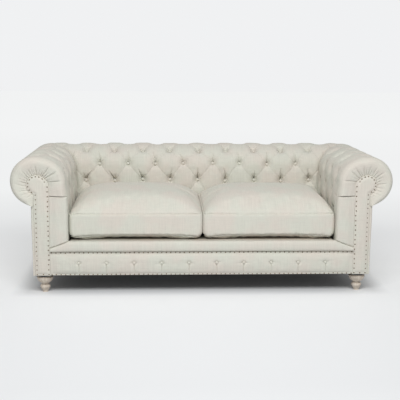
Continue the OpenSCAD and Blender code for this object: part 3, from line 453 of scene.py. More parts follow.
def pull_creases(p, v, seed):
    """Sharp creases that fan up from each button, where the cloth is pulled in.
    Each row has its own spread, length and depth: long and upright round the roll's
    front, steep and deep on the face below it."""
    rand = np.random.RandomState(seed)
    depth = np.zeros(p.shape)
    for q in range(ROW_COUNT):
        spread, longest, deepest, ups = CREASES[q]
        for n in range(-14, 15):
            if (n + q) % 2:
                continue
            dp, dv = (p - n) * HALF, v - (TOP_V - q * ROW_PITCH)
            near = (np.abs(dp) < 0.075) & (np.abs(dv) < 0.095)
            dp, dv = dp[near], dv[near]
            total, longest_one = np.zeros(dp.shape), rand.randint(ups)
            for k in range(ups + 2):
                up = k < ups
                lean = spread * (2 * (k + rand.uniform(0.2, 0.8)) / ups - 1) if up else (
                    math.pi + spread * rand.uniform(-1, 1))
                strong = k == longest_one or q == 1
                size = rand.uniform(0.85, 1) if strong else rand.uniform(0.15, 0.55)
                reach = longest * (0.25 + 0.75 * size) if up else rand.uniform(0.018, 0.032)
                bend = rand.normal(0, 2.5)
                along = dp * math.sin(lean) + dv * math.cos(lean)
                side = np.abs(dp * math.cos(lean) - dv * math.sin(lean) + bend * along ** 2)
                on = smooth((along - 0.004) / 0.012) * np.clip(1 - along / reach, 0, 1) ** 0.5
                total += deepest * size * on * np.exp(-(side / (0.0018 + 0.0008 * size)) ** 1.4)
            depth[near] += np.minimum(total, deepest * 1.1)
    return depth


def hand_shift(x, v):
    """The back's buttons are tied by hand, each a few millimetres off the marked grid."""
    share = np.clip((CORNER_X - 0.11 - np.abs(x)) / 0.12, 0, 1)
    return (0.006 * share * lattice_noise(x / 0.11, v / 0.10, 41),
            0.008 * share * lattice_noise(x / 0.11, v / 0.10, 42))


def mitre_fold(away, v):
    """The crease where the back's cloth is folded under against the arm's."""
    return 0.009 * np.exp(-(away / 0.0075) ** 1.5) * smooth((v + 0.16) / 0.06) * (
        1 - smooth((v - 0.13) / 0.08))


def tuft_depth(p, v, seed):
    """How far below the crest of its puff each point of the buttoned cloth lies."""
    q = np.clip((TOP_V - v) / ROW_PITCH, 0, ROW_COUNT - 1)
    past = np.maximum(np.maximum(0, v - TOP_V), LOW_V - v)
    a, b = math.pi / 2 * (p + q), math.pi / 2 * (p - q)
    puff = np.abs(np.sin(a) * np.sin(b))
    fold = 1 - puff ** 0.5
    near = np.abs(np.cos(a) * np.cos(b))
    wide = 4 - 1.8 * np.clip(1 - q, 0, 1)
    sharp = 0.32 + 0.2 * np.exp(-((q - 1) / 0.3) ** 2)
    pit = (1 - sharp) * near ** wide + sharp * near ** 14
    fold_left = 1 - 0.7 * smooth(past / (END_V - TOP_V))
    pit_left = np.clip(1 - 1.7 * past / ROW_PITCH, 0, 1) ** 2
    full = 1 + 0.22 * lattice_noise(p * 0.8 + 3, q * 0.9, seed)
    depth = SOFT_FOLD * fold * fold_left * full + (TUFT_D - SOFT_FOLD) * pit * pit_left
    depth += THIN_FOLD * np.exp(-puff / 0.05) * fold_left * np.clip(full, 0.7, 1.3)
    depth += 0.0016 * lattice_noise(p * 2.1, v / 0.045, seed + 1) * (1 - pit)
    depth += 0.0007 * lattice_noise(p * 6.3, v / 0.016, seed + 2)
    return np.maximum(depth + pull_creases(p, v, seed + 3), 0)


def lining_of(v):
    """The lining behind the pad: down the frame's stem, and round its scroll head."""
    angle = v / ROLL_R
    r = CORE_R * 1.087
    tail = smooth((angle - math.radians(222)) / math.radians(30))
    u = np.where(v < 0, STEM_IN + GAP + (r - STEM_IN) * smooth(1 + v / 0.04), r * np.cos(angle))
    z = np.where(v < 0, SCROLL_Z + v, SCROLL_Z + r * np.sin(angle))
    end_z = SCROLL_Z + ROLL_R * math.sin(END_V / ROLL_R)
    return u * (1 - tail) - (STEM_OUT + GAP) * tail, z * (1 - tail) + end_z * tail


def corner_point(s, u, room):
    """Distance along and across: mitred on the seat side, swung round the corner outside."""
    back = np.maximum(-u, 1e-9)
    straight = room - np.maximum(u, 0)
    d = s * (straight + np.where(u < 0, back * math.pi / 4, 0))
    turn = np.where(u < 0, (d - straight) / back, 0)
    swung = turn > 0
    return (np.where(swung, room + back * np.sin(turn), d),
            np.where(swung, -back * np.cos(turn), u))


def run_len(u, room):
    return room - np.maximum(u, 0) + np.where(u < 0, -u * math.pi / 4, 0)


V_ROWS = np.linspace(PAD_Z - SCROLL_Z, END_V, round((END_V - PAD_Z + SCROLL_Z) / STEP))
V_ROWS = V_ROWS[np.abs(V_ROWS - SEAM_V - 0.001) > 0.0022]
V_ROWS = np.sort(np.concatenate([V_ROWS, SEAM_V + np.array([-0.0004, 0.0006, 0.0018])]))
print(len(V_ROWS), "rows of points round the section")

# %% [markdown]
# ## Inside back
# One pad from arm to arm. Near each end it turns the corner on a 45 degree mitre, where
# a real one is folded and blind-stitched to the arm.

# %% Inside back
def back_point(u, z, x_sign, s, run_x):
    room = SCROLL_X - BACK_REG
    c, w = corner_point(s, u, room)
    x = np.where(s > 0, BACK_REG + c - s * GAP, run_x)
    return np.stack([x_sign * x, SCROLL_Y - np.where(s > 0, w, u), z], -1)


corner_s = np.linspace(0, 1, CORNER_COLUMNS + 1)[1:]
middle = np.linspace(-BACK_REG, BACK_REG, round(2 * BACK_REG / CLOSE_STEP))
col_x = np.concatenate([np.full(CORNER_COLUMNS, -BACK_REG), middle,
                        np.full(CORNER_COLUMNS, BACK_REG)])
col_s = np.concatenate([corner_s[::-1], np.zeros(len(middle)), corner_s])
vv, xx = np.meshgrid(V_ROWS, col_x)
ss = np.broadcast_to(col_s[:, None], vv.shape)
u0, z0 = face_point(vv)
along = np.where(ss > 0, BACK_REG + ss * run_len(u0, SCROLL_X - BACK_REG), np.abs(xx))
sign = np.sign(xx + 1e-12)
signed = along * sign
shift_x, shift_v = hand_shift(signed, vv)
depth = tuft_depth((signed + shift_x) / HALF + CORNER_N % 2, vv + shift_v, 11)
depth = depth + 0.0012 * lattice_noise(signed / 0.16, vv / 0.11, 5)
depth += mitre_fold((1 - ss) * run_len(u0, SCROLL_X - BACK_REG), vv)
nu, nz = face_normal(vv)
outer = back_point(u0 - depth * nu, z0 - depth * nz, sign, ss, np.abs(xx))
lu, lz = lining_of(vv)
inner = back_point(lu, lz, sign, ss, np.abs(xx))
inside_back = pad_on_grid("inside_back", outer, np.stack([signed, vv], -1), LINEN, inner, 8)
finish_soft(inside_back, "root", ["inside_back_pad"])

# %% [markdown]
# ## Inside arms and their pleated fronts
# The arm pad is the same section run forward. Past the last buttons the spare cloth is
# gathered into pleats, drawn over the front of the roll and tacked behind the facing.

# %% The keyhole and the pleats round it
KEYHOLE_OUT = STEM_OUT
TURN_END = math.pi + math.acos((KEYHOLE_OUT + FACING_U) / FACING_R)
# The degrees in which the head eases into the side, and the share of the side that is straight.
NECK, STRAIGHT = 40, 0.86
# Of each pleat, by side: its angle round the head, its depth and how far out it reaches.
PLEATS = {-1: [(4, .9, .95), (15, .5, .4), (31, 1, .9), (42, .6, .5), (53, 1, .8), (62, .8, .35),
               (74, .5, .5), (86, .9, .6), (97, .4, .4), (106, .5, .6), (115, .8, .5),
               (127, .4, .5), (138, .6, .7), (149, .5, .4), (160, .4, .6), (172, .7, .5),
               (187, .5, .7), (198, .4, .4), (207, .7, .6), (221, .5, .7), (236, .7, .5)],
          1: [(7, .8, .9), (20, .5, .5), (33, .9, .8), (49, .8, .9), (58, .5, .4), (70, .9, .6),
              (83, .6, .5), (93, .8, .6), (104, .5, .4), (117, .7, .6), (130, .6, .5),
              (141, .7, .7), (156, .5, .5), (167, .6, .4), (180, .8, .6), (196, .5, .6),
              (209, .7, .5), (223, .5, .7), (238, .6, .4)]}


def head_point(turn, off):
    """The keyhole's round head, eased into its straight inner side between 0 and NECK degrees."""
    ease = (FACING_IN - FACING_U - FACING_R) * (1 - smooth(np.degrees(turn) / NECK))
    r = FACING_R + ease + off
    return FACING_U + r * np.cos(turn), FACING_Z + r * np.sin(turn)


def keyhole_edge(v, off):
    """The point of the keyhole's outline that the cloth at v is drawn to."""
    turns = np.interp(v / ROLL_R, np.radians([0, 90, 180, 240]),
                      [math.radians(12), math.radians(89), math.radians(178), TURN_END])
    hu, hz = head_point(turns, off)
    side = v < 0
    rise = (v - SEAM_V) / -SEAM_V
    z_low = SEAM_Z + (FACING_Z - SEAM_Z) * np.clip(rise, 0, 1) / STRAIGHT
    turn_in = np.clip((rise - STRAIGHT) / 0.14, 0, 1) * math.radians(12)
    lu, lz = head_point(turn_in, off)
    lz = np.where(rise < STRAIGHT, z_low, lz)
    lu = np.where(rise < STRAIGHT, FACING_IN + off, lu)
    tail = math.radians(240)
    drop = np.clip((v / ROLL_R - tail) / (END_V / ROLL_R - tail), 0, 1)
    end_z = float(face_point(np.array(END_V))[1])
    hz = hz + (end_z - hz) * drop
    hu = np.where(drop > 0, -KEYHOLE_OUT - off, hu)
    below = v <= SEAM_V
    return (np.where(side, np.where(below, FACING_IN + off, lu), hu),
            np.where(side, np.where(below, SCROLL_Z + v, lz), hz))


def pleat_depth(v, t, side, seed):
    """Creases drawn out of the facing's edge: t runs from the rim of the roll (0) to it (1)."""
    rand = np.random.RandomState(seed)
    depth = np.zeros(np.broadcast(v, t).shape)
    for turn, size, reach in PLEATS[side]:
        lean = rand.normal(0, 0.010) * (1 - t)
        away = np.abs(v - math.radians(turn) * ROLL_R - lean)
        on = smooth((t - (1 - reach)) / (0.45 * reach))
        wide = 0.0030 + 0.0026 * (1 - t)
        depth += 0.0090 * size * on * np.exp(-(away / wide) ** 1.25)
    return depth


# %% Inside arms
# The radius of the bend to the front, and the shares of the wrap up to its end and after it.
ROUND, BEND, AFTER_BEND = 0.020, 0.45, 0.55


def arm_shape(side):
    seed = 31 if side < 0 else 47
    room = SCROLL_Y - ARM_REG
    v = V_ROWS[None, :]
    u0, z0 = face_point(v)
    nu, nz = face_normal(v)
    lu, lz = lining_of(v)
    above = smooth((v - SEAM_V) / 0.0034)

    s = np.linspace(1, 0, CORNER_COLUMNS + 1)[:-1, None]
    run = ARM_REG + s * run_len(u0, room)
    depth = tuft_depth((CORNER_Y - run) / HALF, v + 0 * s, seed)
    depth = depth + mitre_fold((1 - s) * run_len(u0, room), v)
    c, w = corner_point(s, u0 - depth * nu, room)
    corner = np.stack([SCROLL_X - w, ARM_REG + c - s * GAP, z0 - depth * nz + 0 * w], -1)
    c, w = corner_point(s, lu, room)
    corner_back = np.stack([SCROLL_X - w, ARM_REG + c - s * GAP, lz + 0 * w], -1)
    corner_flat = np.stack([run, v + 0 * run], -1)

    last_y = FRAME_FRONT + ROUND
    y = np.linspace(ARM_REG, last_y, round((ARM_REG - last_y) / STEP))[:, None]
    fade = smooth((ARM_LAST - y) / (ARM_LAST - last_y))
    depth = tuft_depth((CORNER_Y - y) / HALF + 0 * v, v + 0 * y, seed)
    past_last = smooth((ARM_LAST - y - 0.05) / 0.06)
    depth = depth * (1 - fade * above) * (1 - 0.6 * past_last) + 0.0012 * past_last
    depth += 0.001 * lattice_noise(y / 0.14, v / 0.1, seed + 8)
    depth = np.maximum(depth, 0) * (1 - smooth((ROUND + FRAME_FRONT + 0.03 - y) / 0.03) * 0.9)
    middle = np.stack([SCROLL_X - u0 + depth * nu, y + 0 * v, z0 - depth * nz], -1)
    middle_back = np.stack([SCROLL_X - lu + 0 * y, y + 0 * v, lz + 0 * y], -1)
    middle_flat = np.stack([y + 0 * v, v + 0 * y], -1)

    t = (np.arange(1, 31) / 30)[:, None]
    eu, ez = keyhole_edge(v, -0.0015)
    long = np.hypot(eu - u0, ez - z0)
    turn = np.clip(t / BEND, 0, 1) * math.pi / 2
    past_bend = np.clip((t - BEND) / AFTER_BEND, 0, 1)
    run_in = np.where(t < BEND, 0.30 * (1 - np.cos(turn)), 0.30 + 0.70 * past_bend)
    out = np.where(t < BEND, -ROUND + (ROUND + FRONT_PUFF) * np.sin(turn),
                   FRONT_PUFF - 0.0215 * past_bend ** 1.7)
    groove = 0.0032 * np.exp(-((v - SEAM_V) / 0.0035) ** 2) * smooth(run_in / 0.1)
    out = out - pleat_depth(v, run_in, side, seed) * above - groove
    out = out + 0.0016 * lattice_noise(v / 0.035, run_in * 2.2, seed + 9) * np.sin(math.pi * run_in)
    flat_out = np.minimum(-ROUND + (ROUND + 2 * GAP) * t / BEND, 2 * GAP)
    out = np.where(above > 0, out * above + flat_out * (1 - above), flat_out)
    share = np.where(above > 0, run_in * above, 0) + (1 - above) * past_bend
    hang = 0.004 * np.exp(-((v - SEAM_V - 0.012) / 0.014) ** 2) * np.exp(-(run_in / 0.2) ** 2)
    wu, wz = u0 + (eu - u0) * share, z0 + (ez - z0) * share - hang * above
    wrap = np.stack([SCROLL_X - wu, FRAME_FRONT - out, wz], -1)
    wrap_back = np.stack([SCROLL_X - (lu + (eu - lu) * t), np.minimum(
        FRAME_FRONT + ROUND * (1 - t / 0.3), FRAME_FRONT + ROUND) * (t < 0.3)
        + (FRAME_FRONT - GAP) * (t >= 0.3) + 0 * v, lz + (ez - lz) * t], -1)
    wrap_flat = np.stack([last_y - long * t, v * (1 - 0.55 * t)], -1)

    shape = [np.concatenate(x) for x in (
        (corner, middle, wrap), (corner_back, middle_back, wrap_back),
        (corner_flat, middle_flat, wrap_flat))]
    for a in shape[:2]:
        a[..., 0] *= side
    return shape


for side, name in SIDES:
    outer, inner, flat = arm_shape(side)
    arm = pad_on_grid(f"{name}_inside_arm", outer, flat, LINEN, inner, 7)
    finish_soft(arm, "root", [f"{name}_inside_arm_pad"])

# %% [markdown]
# ## Covered buttons
# Every button is a small covered dome, and there are over a hundred of them, so they
# are one Geometry Nodes group: points with a facing direction, a shape put on each, a
# random twist, and the whole realized into one plain mesh.

# %% The repeat group
def repeat_group():
    g = bpy.data.node_groups.new("repeat_on_points", "GeometryNodeTree")
    g.is_modifier = True
    for n, kind in (("Points", "Geometry"), ("Shape", "Object"), ("Tilt", "Float"),
                    ("Seed", "Int"), ("Finish", "Material")):
        g.interface.new_socket(name=n, in_out="INPUT", socket_type="NodeSocket" + kind)
    g.interface.new_socket(name="Geometry", in_out="OUTPUT", socket_type="NodeSocketGeometry")
    i = g.nodes.new("NodeGroupInput").outputs
    shape = node(g, "GeometryNodeObjectInfo", {"Object": i["Shape"]})
    facing = node(g, "GeometryNodeInputNamedAttribute", {"Name": "facing"},
                  data_type="FLOAT_VECTOR")
    aim = node(g, "FunctionNodeAlignRotationToVector", {"Vector": facing.outputs["Attribute"]},
               axis="Z")
    rand = node(g, "FunctionNodeRandomValue", data_type="FLOAT_VECTOR")
    fill_in(g, rand, {"Min": (-1, -1, -1), "Max": (1, 1, 1), "Seed": i["Seed"]})
    spread = node(g, "ShaderNodeCombineXYZ", {0: i["Tilt"], 1: i["Tilt"], 2: math.pi})
    lean = node(g, "ShaderNodeVectorMath", {0: rand.outputs["Value"], 1: spread.outputs[0]},
                operation="MULTIPLY")
    twist = node(g, "FunctionNodeEulerToRotation", {0: lean.outputs[0]})
    turn = node(g, "FunctionNodeRotateRotation", {0: aim.outputs[0], 1: twist.outputs[0]},
                rotation_space="LOCAL")
    put = node(g, "GeometryNodeInstanceOnPoints", {
        "Points": i["Points"], "Instance": shape.outputs["Geometry"],
        "Rotation": turn.outputs[0]})
    real = node(g, "GeometryNodeRealizeInstances", {0: put.outputs[0]})
    look = node(g, "GeometryNodeSetMaterial", {"Geometry": real.outputs[0],
                                               "Material": i["Finish"]})
    node(g, "NodeGroupOutput", {"Geometry": look.outputs[0]})
    return g


REPEAT = repeat_group()


def dome(name, radius, height, sides, rings, rim=0.0):
    """A low-poly dome, its flat side at z = 0 and its edge turned down."""
    def ring(r, z):
        turns = [2 * math.pi * k / sides for k in range(sides)]
        return [[r * math.cos(turn), r * math.sin(turn), z] for turn in turns]

    points, faces = [[0, 0, height]], []
    for t in (r / rings for r in range(1, rings + 1)):
        points += ring(radius * t, height * (1 - t ** 2.2))
    points += ring(radius, -rim)
    for k in range(sides):
        m = (k + 1) % sides
        faces.append([0, 1 + k, 1 + m])
        for r in range(rings):
            a = 1 + r * sides
            faces.append([a + k, a + sides + k, a + sides + m, a + m])
    faces.append([1 + rings * sides + k for k in range(sides)][::-1])
    return piece(name, points, faces, LINEN, weave=[p[:2] for p in points])


def repeat(name, places, shape, finish, tilt, seed):
    """One mesh with shape at each place, a list of (point, direction)."""
    mesh = bpy.data.meshes.new(name + "_points")
    mesh.from_pydata([list(p) for p, _ in places], [], [])
    layer = mesh.attributes.new("facing", "FLOAT_VECTOR", "POINT")
    layer.data.foreach_set("vector", np.array([list(d) for _, d in places], np.float32).ravel())
    holder = in_scene(name + "_holder", mesh)
    mod = holder.modifiers.new("repeat", "NODES")
    mod.node_group = REPEAT
    values = {"Shape": shape, "Tilt": tilt, "Seed": seed, "Finish": finish}
    for item in REPEAT.interface.items_tree:
        if item.in_out == "INPUT" and item.name in values:
            mod[item.identifier] = values[item.name]
    bpy.context.view_layer.update()
    done = evaluated(holder)
    bpy.data.objects.remove(holder)
    done.shade_smooth()
    obj = in_scene(name, done)
    if not done.materials:
        done.materials.append(finish)
    print(f"{name}: {len(places)} of {shape.name}, {len(done.polygons)} faces")
    return obj


# %% Where the buttons sit
# How far a button stands out of its pit, and how far the head of row 2 moves at the mitre.
SINK, HEAD_SHIFT = 0.006, 0.010


def on_section(v, depth):
    u, z = face_point(np.array(v))
    nu, nz = face_normal(np.array(v))
    return float(u - depth * nu), float(z - depth * nz), float(nu), float(nz)


def back_button_places():
    found = []
    for q in range(ROW_COUNT):
        v = TOP_V - q * ROW_PITCH
        odd = (q + CORNER_N) % 2
        reach = (CORNER_X - HALF if q == 2
                 else SCROLL_X - max(float(face_point(np.array(v))[0]), 0) - HALF / 2)
        n = math.floor((reach / HALF - odd) / 2)
        for c in range(-n - odd, n + 1):
            x = (2 * c + odd) * HALF
            shift_x, shift_v = hand_shift(x, v)
            u, z, nu, nz = on_section(v - shift_v, TUFT_D - SINK)
            found.append(((x - shift_x, SCROLL_Y - u, z), (0, -nu, nz)))
    return found


def arm_button_places(side):
    found = []
    for q in range(ROW_COUNT):
        v = TOP_V - q * ROW_PITCH
        u, z, nu, nz = on_section(v, TUFT_D - SINK)
        odd = q % 2
        fu = float(face_point(np.array(v))[0])
        first = 0 if q == 2 else max(0, math.ceil(
            (CORNER_Y - SCROLL_Y + fu + HALF / 2 - odd * HALF) / TUFT_PITCH))
        for c in range(first, ARM_LAST_N // 2 - odd + 1):
            y = CORNER_Y - (2 * c + odd) * HALF
            y = y - HEAD_SHIFT if q == 2 and c == 0 else y
            found.append(((side * (SCROLL_X - u), y, z), (-side * nu, 0, nz)))
    return found


tuft_button = dome("tuft_button", 0.010, 0.0065, 20, 5, 0.004)
border_button = dome("border_button", 0.0090, 0.0062, 18, 4, 0.004)
nail_shape = dome("nail_head", NAIL_D / 2, 0.003, 12, 3, 0.0005)
made = repeat("tufted_back_buttons", back_button_places(), tuft_button, LINEN, 0.12, 3)
finish_soft(made, "root", ["back_buttons"])
for side, name in SIDES:
    made = repeat(f"tufted_{name}_buttons", arm_button_places(side), tuft_button, LINEN, 0.12,
                  5 + side)
    finish_soft(made, "root", [f"{name}_arm_buttons"])

# %% [markdown]
# ## Arm facings
# A thin keyhole board, padded and covered, closes the front of each arm. It is drawn as
# its outline, filled with points, and raised by how far a point lies from the edge.

# %% Arm facings
def keyhole():
    """The outline in (u, z): up the seat side, round the head, down the outer side."""
    turns = np.linspace(0, TURN_END, 72)
    return ([(-KEYHOLE_OUT, FACING_LOW), (FACING_IN, FACING_LOW)]
            + list(zip(*head_point(turns, 0 * turns))))


def resampled(outline, step):
    out = []
    for (a, b), (c, d) in zip(outline, outline[1:] + outline[:1]):
        n = max(1, round(math.hypot(c - a, d - b) / step))
        out += [(a + (c - a) * k / n, b + (d - b) * k / n) for k in range(n)]
    return np.array(out)


def edge_distance(points, outline):
    a, b = outline, np.roll(outline, -1, 0)
    best = np.full(len(points), 9.0)
    for p, q in zip(a, b):
        d = q - p
        t = np.clip(((points - p) @ d) / (d @ d), 0, 1)
        best = np.minimum(best, np.hypot(*(points - p - t[:, None] * d).T))
    return best


def inside(points, outline):
    hit = np.zeros(len(points), bool)
    for p, q in zip(outline, np.roll(outline, -1, 0)):
        cross = (p[1] > points[:, 1]) != (q[1] > points[:, 1])
        with np.errstate(divide="ignore", invalid="ignore"):
            x = (q[0] - p[0]) * (points[:, 1] - p[1]) / (q[1] - p[1]) + p[0]
        hit ^= cross & (points[:, 0] < x)
    return hit


def quilted(name, outline, step, rise, place, mat):
    """A closed pad over an outline: rise(d, x, y) is its height at distance d from the edge."""
    edge = resampled(outline, step)
    low, high = edge.min(0), edge.max(0)
    gx, gy = np.meshgrid(np.arange(low[0], high[0], step), np.arange(low[1], high[1], step))
    field = np.stack([gx.ravel(), gy.ravel()], 1)
    field = field[inside(field, edge)]
    field = field[edge_distance(field, edge) > step * 0.6]
    n = len(edge)
    loop = [(k, (k + 1) % n) for k in range(n)]
    spots = [Vector(p) for p in np.concatenate([edge, field])]
    flat, _, faces, *_ = delaunay_2d_cdt(spots, loop, [], 1, 1e-6)
    flat = np.array([list(p) for p in flat])
    d = edge_distance(flat, edge)
    top = np.array([place(x, y, h) for (x, y), h in zip(flat, rise(d, flat[:, 0], flat[:, 1]))])
    base = len(flat)
    back = np.array([place(x, y, 0) for x, y in edge])
    faces = [list(f) for f in faces]
    faces += [[a, b, base + b, base + a] for a, b in loop]
    faces.append([base + k for k in range(n)])
    return piece(name, np.concatenate([top, back]), faces, mat,
                 weave=np.concatenate([flat, edge]))


def facing_rise(seed):
    def rise(d, x, y):
        edge = FACING_T * (0.78 + 0.22 * quarter_round(d, 0.003))
        pad = FACING_CROWN * smooth((d - 0.010) / 0.014)
        dip = 0.0014 * np.exp(-((d - NAIL_INSET) / 0.004) ** 2)
        return edge + pad - dip + 0.0004 * lattice_noise(x / 0.03, y / 0.03, seed)
    return rise


for side, name in SIDES:
    made = quilted(f"{name}_facing", keyhole(), 0.004, facing_rise(60 + side),
                   lambda u, z, h: (side * (SCROLL_X - u), FRAME_FRONT - GAP - h, z), LINEN)
    finish_soft(made, "root", [f"{name}_arm_facing"])

# %% [markdown]
# ## Nails
# Dark domed nails follow both sides of each facing, round its head and along its foot,
# and the top and bottom of the front border. No two are driven quite alike.

# %% Nails
def facing_nail_points():
    pitch, head_pitch, head_r = 0.028, 0.021, FACING_R - NAIL_INSET
    in_u, out_u = FACING_IN - NAIL_INSET, -FACING_OUT + NAIL_INSET
    low, in_top, neck = FACING_LOW + NAIL_INSET, FACING_Z - 0.2 * head_r, FACING_Z - FACING_R
    a0, a1 = math.radians(22), math.radians(238)
    line = lambda a, b, n: [(a[0] + (b[0] - a[0]) * k / n, a[1] + (b[1] - a[1]) * k / n)
                            for k in range(n + 1)]
    found = line((in_u, low), (in_u, in_top), round((in_top - low) / pitch))
    found += line((out_u, low), (out_u, neck), round((neck - low) / pitch))
    n = round((a1 - a0) * head_r / head_pitch)
    found += [(FACING_U + head_r * math.cos(a0 + (a1 - a0) * k / n),
               FACING_Z + head_r * math.sin(a0 + (a1 - a0) * k / n)) for k in range(n + 1)]
    found += line((out_u, low), (in_u, low), round((in_u - out_u) / pitch))[1:-1]
    return found


def border_nail_points():
    span, pitch = BORDER_X - NAIL_INSET, 0.0265
    n = round(2 * span / pitch)
    return [(-span + 2 * span * k / n, z) for k in range(n + 1)
            for z in (FACING_LOW + FLANGE_H / 2, RAIL_TOP - FLANGE_H / 2)]


rand = np.random.RandomState(8)
wobble = lambda: rand.normal(0, 0.0006)
for side, name in SIDES:
    spots = [((side * (SCROLL_X - u) + wobble(), FRAME_FRONT - GAP - FACING_T + 0.0008,
               z + wobble()), (0, -1, 0)) for u, z in facing_nail_points()]
    made = repeat(f"{name}_nails", spots, nail_shape, BRONZE, 0.16, 20 + side)
    finish_soft(made, "root", [f"{name}_facing_nails"])
spots = [((x + wobble(), FRAME_FRONT - GAP - FLANGE_T + 0.0004, z + wobble()), (0, -1, 0))
         for x, z in border_nail_points()]
made = repeat("front_nails", spots, nail_shape, BRONZE, 0.16, 23)
finish_soft(made, "root", ["border_nails"])

# %% [markdown]
# ## Arm borders, lip and front border
# Below the seam the arm front is a plain pad that meets the lip on a slant. The lip is a
# firm roll along the deck. The front border is a shallow pad with ten buttons, each with
# a fold below it where the fullness is taken up.

# %% Arm borders
def arm_border(side):
    rows, cols = 110, 40
    s, r = np.meshgrid(np.linspace(0, 1, cols), np.linspace(0, 1, rows))
    s, r = 0.5 - 0.5 * np.cos(math.pi * s), 0.5 - 0.5 * np.cos(math.pi * r)
    u = FACING_IN + GAP + (PAD_REACH - FACING_IN - GAP) * s
    low = DECK_Z + GAP - MITRE_LOW * (PAD_REACH - u) / (PAD_REACH - FACING_IN)
    z = low + (SEAM_Z - low) * r
    h = SEAM_Z - low
    seat_side = quarter_round(PAD_REACH - u, 0.016)
    foot_side = 0.35 + 0.65 * quarter_round(r * h, 0.009)
    seam_side = 0.75 + 0.25 * quarter_round((1 - r) * h, 0.003)
    level = FACING_T + (BORDER_T - FACING_T) * smooth((u - FACING_IN) / 0.05)
    level = np.where(u < FACING_IN + 0.003, level * (0.75 + 0.25 * (u - FACING_IN) / 0.003), level)
    lines = np.exp(-(((u / 0.0155) % 1 - 0.5) / 0.16) ** 2)
    gathers = 0.0035 * lines * np.exp(-r * h / 0.022)
    soft = 0.0011 * lattice_noise(u / 0.05, z / 0.07, 71 + side)
    out = 3 * GAP + (level + soft - gathers) * seat_side * foot_side * seam_side
    points = np.stack([side * (SCROLL_X - u), FRAME_FRONT - np.maximum(out, 2 * GAP), z], -1)
    points[0, :, 1] = points[-1, :, 1] = FRAME_FRONT - 3 * GAP
    points[:, 0, 1] = points[:, -1, 1] = FRAME_FRONT - 3 * GAP
    return points, np.stack([u, z], -1)


for side, name in SIDES:
    made = pad_on_grid(f"{name}_border", *arm_border(side), LINEN)
    finish_soft(made, "root", [f"{name}_arm_border"])


# %% Lip
def lip():
    shares = np.array([[0, 0], [0.35, 0.005], [0.62, 0.03], [0.85, 0.11], [0.96, 0.24], [1, 0.42],
                       [0.985, 0.58], [0.94, 0.73], [0.85, 0.86], [0.70, 0.95], [0.50, 0.99],
                       [0.25, 1.0], [0, 1.0]])
    fine = np.linspace(0, len(shares) - 1, 44)
    so, sh = (np.interp(fine, range(len(shares)), shares[:, k]) for k in (0, 1))
    xs = np.concatenate([np.linspace(-BORDER_X, -SEAT_X, 16)[:-1],
                         np.linspace(-SEAT_X, SEAT_X, 250), np.linspace(SEAT_X, BORDER_X, 16)[1:]])
    low = RAIL_TOP + GAP
    loops, flat = [], []
    for x in xs:
        t = max(0, (abs(x) - SEAT_X) / (BORDER_X - SEAT_X))
        top = DECK_Z - MITRE_LOW * t
        soft = 0.0012 * lattice_noise(x / 0.11, fine / 9, 81) * (sh > 0.02) * (sh < 0.98)
        out = so * (FRONT_PUFF - 0.0005) + soft * so
        back = FRAME_FRONT + (LIP_BACK if t == 0 else -3 * GAP)
        y = np.concatenate([FRAME_FRONT - np.maximum(out, 3 * GAP), [back, back]])
        z = np.concatenate([low + sh * (top - low), [top, low]])
        loops.append(np.stack([np.full_like(y, x), y, z], -1))
        flat.append(np.stack([np.full_like(y, x), np.linspace(0, 0.14, len(y))], -1))
    n = len(loops[0])
    faces = [[j * n + i, j * n + (i + 1) % n, (j + 1) * n + (i + 1) % n, (j + 1) * n + i]
             for j in range(len(xs) - 1) for i in range(n)]
    faces += [list(range(n)), [(len(xs) - 1) * n + i for i in range(n)][::-1]]
    return piece("lip", np.array(loops), faces, LINEN, weave=np.array(flat))


finish_soft(lip(), "root", ["front_lip"])


